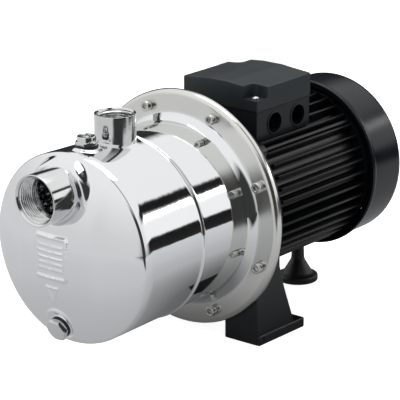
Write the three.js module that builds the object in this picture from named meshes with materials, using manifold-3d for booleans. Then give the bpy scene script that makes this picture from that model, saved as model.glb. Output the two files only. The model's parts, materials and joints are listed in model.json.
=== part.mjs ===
// Shallow well jet pump: a self-priming centrifugal pump with an ejector in a pressed steel casing,
// driven by a fan-cooled electric motor. Millimetres, +Z up, the shaft along Y, suction side at -Y.
//
// Every piece is first made in the shaft frame: the shaft axis is the Y axis, and y = 0 is the plane
// that the rear edge of the casing flange lies in. The group at the end lifts the pump onto its feet.
import * as THREE from 'three';
import { mergeVertices } from 'three/addons/utils/BufferGeometryUtils.js';
import Module from 'manifold-3d';

const wasm = await Module();
wasm.setup();

// ---------------------------------------------------------------- driving dimensions

const gap = 0.3; // between pieces that touch
const running = 0.5; // between pieces that turn past each other
const wall = 2; // pressed steel sheet

const casing = {
  frontRadius: 87.5, // at the front crease
  beadRadius: 85.5, // where the drawn cup ends, at the bead
  rearRadius: 84.5, // between the bead and the flange
  crown: 184.5, // from the flange plane to the middle of the front
  domeRadius: 163, // the front is a shallow dome
  domeLow: 5, // its highest point is this far below the shaft
  shoulder: 28, // how far in from the edge the dome starts to round over
  dropTop: 1.5, // how far back the rounded edge falls above
  dropBottom: 8, // and below
  beadAt: 76,
  beadWidth: 7,
  beadRise: 1.6,
};
// The two side facets: shallow fields that run out to a crease on the casing's edge.
const facet = { inner: 38, soften: 10, rimSoften: 5, set: 9, fall: 18, fadeTop: 38, fadeBottom: -47 };
const facetTop = { from: 50, to: 84, widen: 14 }; // near the top the fields reach further in
const flange = { fillet: 8, land: 14.5, lip: 5, depth: 6, lipBack: 1 };
const screws = { count: 8, shank: 2.7, hole: 3.2, tapped: 3, head: 5, headHeight: 6, key: 2.6, reach: 14 };

// Ports: suction G 1 1/4 on the front, discharge G 1 on top.
const suction = { bore: 20.5, wall: 3, height: 55, reach: 17.5, inside: 22, bossWidth: 9.5, bossSet: 11.5 };
const discharge = { bore: 16.2, wall: 2.55, back: 96, above: 26.6, inside: 6 };

// Threaded plugs for priming and draining, with their bosses on the casing.
const plug = { thread: 8, headAcross: 19, headHeight: 3.5, threadLength: 9, seal: 1.5 };
const boss = { wall: 3.2, proud: 3.5, inside: 7 };
const priming = { back: 134, sunk: 2.6, collar: 8.4, collarHeight: 4.5, recess: 6.4 };
const drain = { set: 15.5, below: 67, tilt: 20, headHeight: 6 }; // set back from the front's middle

// Shaft and what turns with it.
const shaft = { pump: 7, seal: 7, front: 10, core: 11, rear: 8.5, fan: 7 };
const impeller = { radius: 52, shroud: 2.3, passage: 8, eye: 17, eyeWall: 3, hub: 11, vanes: 5 };
const seal = { outer: 14, seat: 5.5, ring: 4, spring: 7.4, wire: 0.8 };
const cover = { dish: 18, dishRadius: 70, cupWall: 2 };
const diffuser = { wall: 4, clear: 8, front: 2.5, vanes: 5, vaneDepth: 5.5 };
const ejector = { throat: 7, wall: 3.5, chamber: 22, set: 26.5, length: 26, clear: 3, flange: 30 };

// Motor.
const motor = {
  root: 66, // outside of the frame between the fins
  finHeight: 11,
  fins: 40,
  finThickness: 3.2,
  bore: 60.3,
  front: 50, // rear face of the bracket, where the frame starts
  length: 132,
  padDrop: 2, // the bottom pad stands this far below the fin tips
  padWidth: 30,
};
const stator = {
  airGap: 0.6,
  rotorRadius: 32.6,
  stack: 80,
  start: 26,
  slots: 18,
  slotDepth: 15,
  slotWidth: 4.5,
};
const winding = { overhang: 16, inner: 37, outer: 55 };
const frontBearing = { bore: 10, outer: 23.5, width: 14, balls: 7, ball: 3.9 };
const rearBearing = { bore: 8.5, outer: 20, width: 12, balls: 7, ball: 3.2 };
const bracket = { flangeThickness: 12, bellWall: 8, hubWall: 7, web: 6, bearingAt: 16 };
const shield = { thickness: 8, hubWall: 5, rimHeight: 10 };
const tieRod = { radius: 2.4, above: 5, head: 4.2, headHeight: 4, lug: 8 }; // above the frame's root
const fan = { radius: 67, disc: 2.5, hub: 13, bladeWidth: 16, blades: 7 };
const fanCover = { clear: 1, wall: 2.5, lip: 2.5, lipWidth: 4, overlap: 3, length: 51, corner: 6 };
const grille = { slots: 12, inner: 26, outer: 64, width: 5 };

// Feet.
const groundClearance = 7.5; // under the casing flange
const foot = { halfWidth: 86.4, leg: 41, plate: 9.6, length: 60, webTop: 26, webBottom: 48, webInset: 7 };
const footSlot = { radius: 4.5, fromEdge: 20, fromBack: 7 };
const rearFoot = { back: 174, radius: 20, rim: 6, neck: 6, stud: 4, cone: 18, studIn: 8 };

// Terminal box.
const box = { halfWidth: 43.5, front: 51.5, length: 82, wall: 2.5, seatRise: 5.7, rise: 27.4, gasket: 1.2 };
const lid = {
  overhang: 0.5,
  height: 23.8,
  roofFall: 3,
  ridgeLeft: 12,
  ridgeRight: 10,
  notch: 16,
  ledge: 9.8,
};
const entry = { radius: 9.7, first: 27, second: 62.5, above: 14.6 };
const lidScrew = { radius: 2, hole: 2.3, head: 3.6, headHeight: 2.4, inset: 6.2, boss: 4.6 };
const capacitor = { radius: 12, length: 52 };
const terminals = { width: 26, length: 34, height: 10, post: 2 };

// Facets round the large, middle-sized and small circles.
const fine = 32;
const middle = 20;
const coarse = 10;

// ---------------------------------------------------------------- derived places

const landInner = casing.rearRadius + flange.fillet;
const landOuter = landInner + flange.land;
const flangeRadius = landOuter + flange.lip;
const boltCircle = landInner + flange.land / 2;
const landFront = -flange.depth;
const landBack = landFront + wall;
const coverFront = landBack + gap;
const coverBack = coverFront + wall;
const bracketFront = coverBack + gap;
const bracketBack = bracketFront + bracket.flangeThickness;
const axisHeight = flangeRadius + groundClearance;

const suctionFace = -(casing.crown + suction.reach);
const suctionOuter = suction.bore + suction.wall;
const bossRadius = suctionOuter + suction.bossWidth; // of the raised ring that carries the suction socket
const drainBack = casing.crown - drain.set;
const chamberFront = casing.crown - ejector.set;
const chamberBack = chamberFront - ejector.length;
const pipeHeight = Math.min(suction.height, casing.rearRadius - wall - ejector.clear - suctionOuter);
const dishFront = -(cover.dish + wall);
const seatFront = -cover.dish + 3;
const seatBack = seatFront + seal.seat;
const ringBack = seatFront - gap;
const ringFront = ringBack - seal.ring;
const hubBack = ringFront - gap - seal.spring - gap;
const shroudBack = hubBack - 1.2;
const shroudInner = shroudBack - impeller.shroud;
const frontShroudBack = shroudInner - impeller.passage;
const frontShroudFront = frontShroudBack - impeller.shroud;
const diffuserRadius = impeller.radius + diffuser.clear + diffuser.wall;
const diffuserFrontBack = frontShroudFront - 1.5;
const diffuserFront = diffuserFrontBack - diffuser.front;
const ejectorBack = diffuserFront - gap;
const eyeFront = diffuserFront + gap;

const motorFront = motor.front + gap;
const motorBack = motorFront + motor.length;
const finTip = motor.root + motor.finHeight;
const tieRing = motor.root + tieRod.above;
const padBottom = -(finTip + motor.padDrop);
const fanCoverRadius = finTip + fanCover.clear + fanCover.wall;
const stackFront = motorFront + stator.start;
const stackBack = stackFront + stator.stack;
const bearingFront = bracket.bearingAt;
const shieldFront = motorBack + gap;
const shieldBack = shieldFront + shield.rimHeight;
const rearBearingBack = shieldBack - 4;
const rearBearingFront = rearBearingBack - rearBearing.width;
const fanFront = shieldBack + 5;
const fanBack = fanFront + fan.bladeWidth + fan.disc;
const coverStart = motorBack + fanCover.overlap;
const coverEnd = coverStart + fanCover.length;

const seatRadius = motor.root + box.seatRise;
const saddleRadius = seatRadius + gap;
const boxTop = motor.root - 8 + box.rise;
const boxBottom = Math.sqrt(saddleRadius ** 2 - box.halfWidth ** 2) - 1;
const boxBack = box.front + box.length;
const lidBottom = boxTop + gap + box.gasket + gap;
const lidTop = lidBottom + lid.height;
const ledgeTop = lidBottom + lid.ledge;

// ---------------------------------------------------------------- shape helpers

// A closed geometry as a solid, with its faces turned outwards.
function solidOf(geometry) {
  const flat = geometry.index ? geometry.toNonIndexed() : geometry;
  const bare = new THREE.BufferGeometry().setAttribute('position', flat.getAttribute('position'));
  const merged = mergeVertices(bare, 1e-3);
  const corners = Array.from(merged.index.array);
  const kept = [];
  for (let i = 0; i < corners.length; i += 3) {
    const [a, b, c] = corners.slice(i, i + 3);
    if (a !== b && b !== c && c !== a) kept.push(a, b, c);
  }
  const build = (list) =>
    new wasm.Manifold(
      new wasm.Mesh({
        numProp: 3,
        vertProperties: merged.attributes.position.array,
        triVerts: new Uint32Array(list),
      }),
    );
  const made = build(kept);
  if (made.volume() > 0) return made;
  for (let i = 0; i < kept.length; i += 3) [kept[i + 1], kept[i + 2]] = [kept[i + 2], kept[i + 1]];
  return build(kept);
}

function geometryOf(solid) {
  const mesh = solid.getMesh();
  const stride = mesh.numProp;
  const places = new Float32Array(mesh.numVert * 3);
  for (let i = 0; i < mesh.numVert; i++) {
    places.set(mesh.vertProperties.subarray(i * stride, i * stride + 3), i * 3);
  }
  return new THREE.BufferGeometry()
    .setAttribute('position', new THREE.BufferAttribute(places, 3))
    .setIndex(new THREE.BufferAttribute(mesh.triVerts, 1));
}

const asSolid = (shape) => (shape.isBufferGeometry ? solidOf(shape) : shape);
const join = (...shapes) => shapes.map(asSolid).reduce((all, one) => all.add(one));
const cut = (shape, ...tools) =>
  tools.map(asSolid).reduce((left, tool) => left.subtract(tool), asSolid(shape));
const common = (a, b) => asSolid(a).intersect(asSolid(b));

// A profile of [radius, y] pairs turned about the Y axis. It closes on itself, or on the axis.
function turned(profile, segments = fine) {
  const points = profile.map(([r, y]) => new THREE.Vector2(r, y));
  if (THREE.ShapeUtils.isClockWise(points)) points.reverse();
  if (points[0].x > 0) points.push(points[0].clone());
  return new THREE.LatheGeometry(points, segments);
}

const rod = (radius, y0, y1, segments = coarse) =>
  turned([[0, y0], [radius, y0], [radius, y1], [0, y1]], segments);
const tube = (inner, outer, y0, y1, segments = middle) =>
  turned([[inner, y0], [outer, y0], [outer, y1], [inner, y1]], segments);
const block = (x0, x1, y0, y1, z0, z1) =>
  new THREE.BoxGeometry(x1 - x0, y1 - y0, z1 - z0).translate((x0 + x1) / 2, (y0 + y1) / 2, (z0 + z1) / 2);

// A flat outline of [x, z] pairs, or a THREE.Shape, carried from y0 to y1.
function prismY(outline, y0, y1) {
  const corners = (points) => points.map(([x, z]) => new THREE.Vector2(x, z));
  const shape = Array.isArray(outline) ? new THREE.Shape(corners(outline)) : outline;
  const prism = new THREE.ExtrudeGeometry(shape, { depth: y1 - y0, bevelEnabled: false, curveSegments: 6 });
  return prism.rotateX(Math.PI / 2).translate(0, y1, 0);
}

// A flat outline of [y, z] pairs carried from x0 to x1.
function prismX(outline, x0, x1) {
  const shape = new THREE.Shape(outline.map(([y, z]) => new THREE.Vector2(y, z)));
  const prism = new THREE.ExtrudeGeometry(shape, { depth: x1 - x0, bevelEnabled: false });
  const turn = new THREE.Matrix4().makeBasis(
    new THREE.Vector3(0, 1, 0),
    new THREE.Vector3(0, 0, 1),
    new THREE.Vector3(1, 0, 0),
  );
  return prism.applyMatrix4(turn).translate(x0, 0, 0);
}

// Turns a shape made along +Y to stand along +Z, at (x, y).
const standing = (geometry, x, y) => geometry.rotateX(Math.PI / 2).translate(x, y, 0);
const turnedBy = (geometry, degrees) => geometry.rotateY(THREE.MathUtils.degToRad(degrees));
const hexagon = (across) =>
  Array.from({ length: 6 }, (_, i) => {
    const angle = (i * Math.PI) / 3;
    const corner = across / Math.sqrt(3);
    return [corner * Math.cos(angle), corner * Math.sin(angle)];
  });
const smooth = (from, to, value) => {
  const t = Math.min(1, Math.max(0, (value - from) / (to - from)));
  return t * t * (3 - 2 * t);
};

// Copies of a tool shape, set evenly round the Y axis.
const around = (count, make, start = 0) =>
  Array.from({ length: count }, (_, i) => turnedBy(make(), start + (i * 360) / count));

// ---------------------------------------------------------------- materials and the node list

const finish = (color, metalness, roughness) =>
  new THREE.MeshStandardMaterial({ color, metalness, roughness });
const steel = finish(0xc9ccce, 1, 0.12);
const zinc = finish(0x9a9c9e, 1, 0.35);
const blackPaint = finish(0x15171a, 0.1, 0.45);
const castAluminium = finish(0x8c8e91, 0.8, 0.5);
const blackPlastic = finish(0x1a1d21, 0, 0.45);
const boxPlastic = finish(0x232a2d, 0, 0.5);
const rubber = finish(0x0c0c0d, 0, 0.8);
const noryl = finish(0x2a2b2d, 0, 0.6);
const copper = finish(0xb06a3a, 1, 0.4);
const laminations = finish(0x6a6c70, 0.8, 0.5);
const bearingSteel = finish(0xb5b8ba, 1, 0.2);
const ceramic = finish(0xe8e2d0, 0, 0.4);
const whitePlastic = finish(0xd8d8d4, 0, 0.5);

const pump = new THREE.Group();
function piece(name, shape, material) {
  const mesh = new THREE.Mesh(shape.isBufferGeometry ? shape : geometryOf(shape), material);
  mesh.name = name;
  pump.add(mesh);
  return mesh;
}

// ---------------------------------------------------------------- pump casing

// How far the casing's front stands ahead of the flange plane at (x, z).
function frontAt(x, z) {
  const r = Math.min(Math.hypot(x, z), casing.frontRadius);
  const into = Math.max(0, (r - (casing.frontRadius - casing.shoulder)) / casing.shoulder);
  const fromTop = smooth(-60, 40, z);
  const drop = casing.dropTop * fromTop + casing.dropBottom * (1 - fromTop);
  const rounding = drop * (1 - Math.sqrt(Math.max(0, 1 - into ** 2)));
  const dome = casing.crown - (x ** 2 + (z + casing.domeLow) ** 2) / (2 * casing.domeRadius) - rounding;
  const inner = facet.inner - facetTop.widen * smooth(facetTop.from, facetTop.to, z);
  const outward = Math.max(0, r - facet.inner) / (casing.frontRadius - facet.inner);
  const field = casing.crown - facet.set - facet.fall * outward ** 2;
  const soften = facet.soften + facet.rimSoften * (r / casing.frontRadius) ** 4;
  const sideways = smooth(inner, inner + soften, Math.abs(x));
  const share = sideways * smooth(facet.fadeBottom, facet.fadeTop, z);
  const face = dome * (1 - share) + field * share;
  const fromPort = Math.hypot(x, z - suction.height);
  const lift =
    (1 - smooth(bossRadius - 4, bossRadius + 3, fromPort)) *
    (1 - smooth(casing.frontRadius - 14, casing.frontRadius, r));
  const raised = casing.crown - suction.bossSet;
  return face + Math.max(0, raised - face) * lift;
}

// The sheet's outline behind the front: [radius, y] from the crease's foot to the flange's lip.
function sideProfile() {
  const { beadAt, beadWidth, beadRise, beadRadius, rearRadius } = casing;
  const arc = (cx, cy, radius, from, to, steps) =>
    Array.from({ length: steps + 1 }, (_, i) => {
      const angle = THREE.MathUtils.degToRad(from + ((to - from) * i) / steps);
      return [cx + radius * Math.cos(angle), cy + radius * Math.sin(angle)];
    });
  return [
    [beadRadius, -beadAt - beadWidth / 2],
    [beadRadius + beadRise, -beadAt - beadWidth / 6],
    [beadRadius + beadRise, -beadAt + beadWidth / 6],
    [rearRadius, -beadAt + beadWidth / 2],
    ...arc(landInner, landFront - flange.fillet, flange.fillet, 180, 90, 3),
    ...arc(landOuter, landFront + flange.lip, flange.lip, -90, 0, 3),
    [flangeRadius, flange.lipBack],
  ];
}

// One closed skin: out over the front, back along the side to the lip, and inside all the way back.
function casingSkin() {
  const frontRows = 8;
  const innerRows = 5;
  const side = sideProfile();
  const rows = [];
  const frontRow = (radius, share, set) => (angle) => {
    const r = radius * Math.sin((share * Math.PI) / 2);
    const x = r * Math.sin(angle);
    const z = r * Math.cos(angle);
    const grown = casing.frontRadius / radius;
    return [x, -frontAt(x * grown, z * grown) + set, z];
  };
  const sideRow = (radius, y) => (angle) => [radius * Math.sin(angle), y, radius * Math.cos(angle)];
  for (let i = 0; i <= frontRows; i++) rows.push(frontRow(casing.frontRadius, i / frontRows, 0));
  side.forEach(([radius, y]) => rows.push(sideRow(radius, y)));
  const inner = [
    [flangeRadius - wall, flange.lipBack],
    [flangeRadius - wall, landBack + 2],
    [landOuter - 1, landBack],
    [landInner, landBack],
    [casing.rearRadius - 0.4, landBack - 3.3],
    [casing.rearRadius - wall, landFront - flange.fillet],
    [casing.rearRadius - wall, -casing.beadAt + casing.beadWidth / 2],
    [casing.beadRadius - wall, -casing.beadAt - casing.beadWidth / 2],
  ];
  inner.forEach(([radius, y]) => rows.push(sideRow(radius, y)));
  for (let i = innerRows; i >= 0; i--) {
    rows.push(frontRow(casing.frontRadius - wall, i / innerRows, wall * 1.2));
  }

  const places = rows.flatMap((row) =>
    Array.from({ length: fine }, (_, i) => row((i * 2 * Math.PI) / fine)).flat(),
  );
  const corners = [];
  for (let row = 0; row < rows.length - 1; row++) {
    for (let i = 0; i < fine; i++) {
      const next = (i + 1) % fine;
      const [a, b, c, d] = [row * fine + i, row * fine + next, (row + 1) * fine + i, (row + 1) * fine + next];
      corners.push(a, b, c, b, d, c);
    }
  }
  return new THREE.BufferGeometry()
    .setAttribute('position', new THREE.Float32BufferAttribute(places, 3))
    .setIndex(corners);
}

// A shape made along +Y from the origin, moved to the drain and pointed out of it.
const atDrain = (geometry) =>
  geometry
    .rotateX(Math.PI + THREE.MathUtils.degToRad(drain.tilt))
    .translate(0, -drainBack, -drain.below);
const primingFoot = casing.frontRadius - priming.sunk; // height of the casing's top at the priming boss
const atPriming = (geometry) => standing(geometry, 0, -priming.back).translate(0, 0, primingFoot);
const screwHole = (radius, from, to) => () => rod(radius, from, to, 8).translate(0, 0, boltCircle);
const screwStart = 180 / screws.count;

function buildCasing() {
  const bossTube = () => tube(plug.thread + gap, plug.thread + gap + boss.wall, -boss.inside, boss.proud);
  const bore = () => rod(plug.thread + gap, -boss.inside - 8, boss.proud + 8, middle);
  const portHole = (radius, from, to) => rod(radius, from, to, middle);
  const skin = cut(
    join(casingSkin(), atPriming(bossTube()), atDrain(bossTube())),
    atPriming(bore()),
    atDrain(bore()),
    portHole(suctionOuter + gap, suctionFace, -casing.crown + 45).translate(0, 0, suction.height),
    standing(portHole(discharge.bore + discharge.wall + gap, 0, 200), 0, -discharge.back),
    ...around(screws.count, screwHole(screws.hole, landFront - 5, landBack + 5), screwStart),
  );
  piece('casing_shell', skin, steel);

  const mouth = 1.2; // chamfer at each socket's open end
  const socket = (radius, thickness, length) =>
    turned(
      [
        [radius, 0],
        [radius + thickness, 0],
        [radius + thickness, length],
        [radius + mouth, length],
        [radius, length - mouth],
      ],
      middle,
    );
  const suctionLength = suction.reach + suction.inside;
  piece(
    'suction_socket',
    socket(suction.bore, suction.wall, suctionLength)
      .rotateX(Math.PI)
      .translate(0, suctionFace + suctionLength, suction.height),
    steel,
  );
  const dischargeFoot = casing.frontRadius - 3 - discharge.inside;
  const outlet = socket(discharge.bore, discharge.wall, discharge.above + discharge.inside);
  piece('discharge_socket', standing(outlet, 0, -discharge.back).translate(0, 0, dischargeFoot), steel);
}

// A threaded plug with a hexagon head, made along +Y, its sealing face at the boss's end.
function plugBody(headHeight, collar) {
  const head = boss.proud + gap + plug.seal + gap;
  const parts = [
    rod(plug.thread, head - plug.threadLength, head + 1),
    prismY(hexagon(plug.headAcross), head, head + headHeight),
  ];
  if (!collar) return join(...parts);
  const top = head + headHeight;
  parts.push(rod(collar.radius, top - 1, top + collar.height, coarse));
  return cut(join(...parts), rod(collar.recess, top - 2, top + collar.height + 1, coarse));
}

const sealWasher = () =>
  tube(plug.thread + gap, plug.headAcross / 2 + 1, boss.proud + gap, boss.proud + gap + plug.seal);

function buildPlugs() {
  const collar = { radius: priming.collar, height: priming.collarHeight, recess: priming.recess };
  piece('priming_plug', atPriming(geometryOf(plugBody(plug.headHeight, collar))), steel);
  piece('priming_seal', atPriming(sealWasher()), rubber);
  piece('drain_plug', atDrain(geometryOf(plugBody(drain.headHeight))), steel);
  piece('drain_seal', atDrain(sealWasher()), rubber);
}

// Socket-head screws that clamp casing, cover and bracket together.
function buildFlangeScrews() {
  const top = landFront - gap;
  const body = cut(
    join(
      rod(screws.head, top - screws.headHeight, top, 14),
      rod(screws.shank, top - 1, top + screws.reach, 10),
    ),
    prismY(hexagon(screws.key * 2), top - screws.headHeight - 1, top - screws.headHeight / 2),
  );
  for (let i = 0; i < screws.count; i++) {
    const angle = screwStart + (i * 360) / screws.count;
    const shape = turnedBy(geometryOf(body).translate(0, 0, boltCircle), angle);
    piece(`flange_screw_${i + 1}`, shape, zinc);
  }
}

// ---------------------------------------------------------------- pump inside

function buildCover() {
  const recess = landInner - 3; // the O-ring's seat starts inside this radius
  const bore = shaft.seal + running;
  const cup = seal.outer + gap;
  const profile = [
    [landOuter - 1.5, coverFront],
    [landOuter - 1.5, coverBack],
    [recess - 1, coverBack],
    [recess - 1, coverBack + 1.8],
    [cover.dishRadius + 4, coverBack + 1.8],
    [cover.dishRadius, -cover.dish],
    [cup + cover.cupWall, -cover.dish],
    [cup + cover.cupWall, seatBack + gap + cover.cupWall],
    [bore, seatBack + gap + cover.cupWall],
    [bore, seatBack + gap],
    [cup, seatBack + gap],
    [cup, dishFront],
    [cover.dishRadius + 1, dishFront],
    [cover.dishRadius + 6, coverFront + 1.8],
    [recess, coverFront + 1.8],
    [recess, coverFront],
  ];
  const holes = around(screws.count, screwHole(screws.hole, coverFront - 3, coverBack + 3), screwStart);
  piece('casing_cover', cut(turned(profile, middle), ...holes), steel);

  const ringSection = 1.9;
  const seatFace = coverFront + 1.8;
  const ringRadius = casing.rearRadius - 0.2;
  const section = Array.from({ length: 6 }, (_, i) => {
    const angle = (i * Math.PI) / 3;
    const y = seatFace - gap - ringSection + ringSection * Math.sin(angle);
    return [ringRadius + ringSection * Math.cos(angle), y];
  });
  piece('casing_o_ring', turned(section, middle), rubber);
}

// A curved vane between two radii, standing from y0 to y1.
function vane(r0, r1, sweep, thickness, y0, y1) {
  const steps = 3;
  const side = (offset) =>
    Array.from({ length: steps + 1 }, (_, i) => {
      const share = i / steps;
      const r = r0 + (r1 - r0) * share;
      const angle = THREE.MathUtils.degToRad(sweep * share) + offset / r;
      return [r * Math.sin(angle), r * Math.cos(angle)];
    });
  return prismY([...side(thickness / 2), ...side(-thickness / 2).reverse()], y0, y1);
}

function buildImpeller() {
  const { radius, eye, eyeWall, hub, vanes } = impeller;
  const eyeOuter = eye + eyeWall;
  const body = turned([
    [shaft.pump + gap, hubBack],
    [hub, hubBack],
    [hub, shroudBack],
    [radius, shroudBack],
    [radius, shroudInner],
    [hub + 2, shroudInner],
    [hub - 1, frontShroudFront],
    [shaft.pump + gap, frontShroudFront],
  ], middle);
  const front = turned([
    [eye, eyeFront],
    [eyeOuter, eyeFront],
    [eyeOuter, frontShroudFront],
    [radius, frontShroudFront],
    [radius, frontShroudBack],
    [eye, frontShroudBack],
  ], middle);
  const blades = around(vanes, () => vane(hub, radius - 1, -70, 2.4, frontShroudBack - 1, shroudInner + 1));
  const keyway = block(-2.2, 2.2, frontShroudFront - 1, hubBack + 1, shaft.pump - 1, shaft.pump + 2);
  piece('impeller', cut(join(body, front, ...blades), keyway), noryl);

  const nutBack = frontShroudFront - gap;
  const nutBore = rod(shaft.pump - 1 + gap, nutBack - 8, nutBack + 2, middle);
  const nut = cut(prismY(hexagon(18), nutBack - 6, nutBack), nutBore);
  piece('impeller_nut', nut, zinc);
}

function buildDiffuser() {
  const inner = impeller.radius + diffuser.clear;
  const back = dishFront - gap;
  const eye = impeller.eye + impeller.eyeWall + running;
  const cup = turned([
    [eye, diffuserFront],
    [diffuserRadius, diffuserFront],
    [diffuserRadius, back],
    [inner, back],
    [inner, diffuserFrontBack],
    [eye, diffuserFrontBack],
  ], middle);
  const vanes = around(diffuser.vanes, () =>
    vane(inner - diffuser.vaneDepth, inner + 1, 22, 2.5, diffuserFrontBack - 1, back - 1),
  );
  piece('diffuser', join(cup, ...vanes), noryl);
}

// The ejector: a suction chamber behind the suction port, a mixing throat and a widening tube.
function buildEjector() {
  const { throat, chamber, flange: collar } = ejector;
  const skin = ejector.wall;
  const exit = impeller.eye;
  const nozzleHole = 9 + gap;
  const portBack = suctionFace + suction.reach + suction.inside + gap;
  const portDepth = chamberBack + 4;
  const outside = join(
    turned([
      [0, ejectorBack],
      [collar, ejectorBack],
      [collar, ejectorBack - skin],
      [exit + skin, ejectorBack - skin],
      [throat + skin, -chamberBack + 14],
      [throat + skin, -chamberBack + 2],
      [chamber, -chamberBack],
      [chamber, -chamberFront],
      [0, -chamberFront],
    ], middle),
    rod(suctionOuter, portBack, -portDepth, middle).translate(0, 0, pipeHeight),
    block(-15, 15, -chamberFront, -chamberBack, 0, pipeHeight),
  );
  const inside = join(
    turned([
      [0, ejectorBack + 1],
      [exit, ejectorBack + 1],
      [exit, ejectorBack - 2],
      [throat, -chamberBack + 16],
      [throat, -chamberBack + 4],
      [chamber - skin, -chamberBack - skin],
      [chamber - skin, -chamberFront + skin],
      [nozzleHole, -chamberFront + skin],
      [nozzleHole, -chamberFront - 1],
      [0, -chamberFront - 1],
    ], middle),
    rod(suctionOuter - skin, portBack - 1, -portDepth - skin, middle).translate(0, 0, pipeHeight),
    block(-15 + skin, 15 - skin, -chamberFront + skin, -chamberBack - skin, 10, pipeHeight),
  );
  piece('ejector_body', cut(outside, inside), noryl);

  const tip = -chamberBack + 1;
  const start = -chamberFront - gap;
  piece(
    'jet_nozzle',
    turned([
      [5.5, start - 3],
      [12, start - 3],
      [12, start],
      [9, start],
      [9, start + 10],
      [4.6, tip],
      [3, tip],
      [3, tip - 3],
      [5.5, start + 8],
    ], coarse),
    noryl,
  );
}

// A coil of round wire about the Y axis.
function coil(radius, wire, y0, y1, turns) {
  const stepsPerTurn = 10;
  const steps = Math.round(turns * stepsPerTurn);
  const points = Array.from({ length: steps + 1 }, (_, i) => {
    const share = i / steps;
    const angle = share * turns * 2 * Math.PI;
    return new THREE.Vector3(
      radius * Math.cos(angle),
      y0 + wire + (y1 - y0 - 2 * wire) * share,
      radius * Math.sin(angle),
    );
  });
  const section = new THREE.Shape(
    Array.from({ length: 5 }, (_, i) => {
      const angle = (i * 2 * Math.PI) / 5;
      return new THREE.Vector2(wire * Math.cos(angle), wire * Math.sin(angle));
    }),
  );
  const path = new THREE.CatmullRomCurve3(points);
  return new THREE.ExtrudeGeometry(section, { steps, extrudePath: path, bevelEnabled: false });
}

function buildShaftSeal() {
  piece('seal_seat', tube(shaft.seal + running, seal.outer, seatFront, seatBack, middle), ceramic);
  piece('seal_ring', tube(shaft.seal + gap, seal.outer - 2, ringFront, ringBack, middle), rubber);
  const springBack = ringFront - gap;
  piece('seal_spring', coil(shaft.seal + 2.6, seal.wire, springBack - seal.spring, springBack, 2.5), steel);
}

// ---------------------------------------------------------------- shaft and rotor

const nutEnd = frontShroudFront - gap - 7;
const sealEnd = bearingFront - 6;
const rotorRear = rearBearingFront - 1;

function buildShaft() {
  const { pump: thin, front, core, rear, fan: tail } = shaft;
  const threadStart = frontShroudFront - gap;
  const keySlot = block(-2.2, 2.2, hubBack - 12, hubBack - 1, thin - 1.6, thin + 2);
  const body = turned([
    [0, nutEnd],
    [thin - 1, nutEnd],
    [thin - 1, threadStart],
    [thin, threadStart],
    [thin, sealEnd],
    [front - gap, sealEnd],
    [front - gap, bearingFront + frontBearing.width + gap],
    [core, bearingFront + frontBearing.width + gap],
    [core, rotorRear],
    [rear - gap, rotorRear],
    [rear - gap, rearBearingBack + 2],
    [tail, rearBearingBack + 2],
    [tail, fanBack + 3],
    [0, fanBack + 3],
  ], middle);
  piece('shaft', cut(body, keySlot), steel);
  const key = block(-1.9, 1.9, hubBack - 11.7, hubBack - 1.3, thin - 1.3, thin + 1.7);
  piece('impeller_key', key, zinc);
  const slinger = turned([
    [thin + gap, 0.5],
    [thin + 9, 0.5],
    [thin + 9, 2],
    [thin + 3, 3],
    [thin + 3, sealEnd - 1],
    [thin + gap, sealEnd - 1],
  ], middle);
  piece('water_slinger', slinger, rubber);
}

function buildRotorAndStator() {
  const { rotorRadius, airGap, slots, slotDepth, slotWidth } = stator;
  const endRing = 9;
  const core = turned([
    [shaft.core + gap, stackFront - endRing],
    [rotorRadius - 3, stackFront - endRing],
    [rotorRadius - 3, stackFront],
    [rotorRadius, stackFront],
    [rotorRadius, stackBack],
    [rotorRadius - 3, stackBack],
    [rotorRadius - 3, stackBack + endRing],
    [shaft.core + gap, stackBack + endRing],
  ], middle);
  piece('rotor_core', core, laminations);

  const bore = rotorRadius + airGap;
  const half = slotWidth / 2;
  const slot = () => block(-half, half, stackFront - 1, stackBack + 1, bore - 2, bore + slotDepth);
  const stack = cut(tube(bore, motor.bore - gap, stackFront, stackBack, fine), ...around(slots, slot));
  piece('stator_core', stack, laminations);

  const coilHead = (from, to) => {
    const [near, far] = [Math.min(from, to), Math.max(from, to)];
    const { inner, outer } = winding;
    return turned([
      [inner, near + 3],
      [inner + 3, near],
      [outer - 4, near],
      [outer, near + 4],
      [outer, far - 4],
      [outer - 4, far],
      [inner + 3, far],
      [inner, far - 3],
    ], middle);
  };
  piece('stator_winding_front', coilHead(stackFront - gap, stackFront - gap - winding.overhang), copper);
  piece('stator_winding_rear', coilHead(stackBack + gap, stackBack + gap + winding.overhang), copper);
}

// A ball bearing: outer ring, inner ring, and the balls in their cage as one piece.
function buildBearing(name, { bore, outer, width, balls, ball }, from) {
  const pitch = (bore + outer) / 2;
  const middleY = from + width / 2;
  const ringHeight = (outer - bore) * 0.27;
  const groove = ball + gap;
  const race = (radius, edge) => {
    const reach = Math.abs(edge - pitch);
    const half = Math.sqrt(Math.max(0, groove ** 2 - reach ** 2));
    const sign = edge > pitch ? 1 : -1;
    const arc = [-1, 0, 1].map((share) => {
      const y = half * share;
      return [pitch + sign * Math.sqrt(groove ** 2 - y ** 2), middleY + y];
    });
    const to = from + width;
    return turned([[radius, from], [edge, from], ...arc, [edge, to], [radius, to]], middle);
  };
  piece(`${name}_bearing_outer`, race(outer - gap, outer - ringHeight), bearingSteel);
  piece(`${name}_bearing_inner`, race(bore, bore + ringHeight), bearingSteel);
  const cage = tube(pitch - 0.8, pitch + 0.8, middleY - ball * 0.75, middleY + ball * 0.75, coarse);
  const spheres = around(balls, () => new THREE.SphereGeometry(ball, 5, 4).translate(0, middleY, pitch));
  piece(`${name}_bearing_balls`, join(cage, ...spheres), bearingSteel);
}

// ---------------------------------------------------------------- motor bracket and its foot

const tieAngles = [45, 135, 225, 315];

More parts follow.
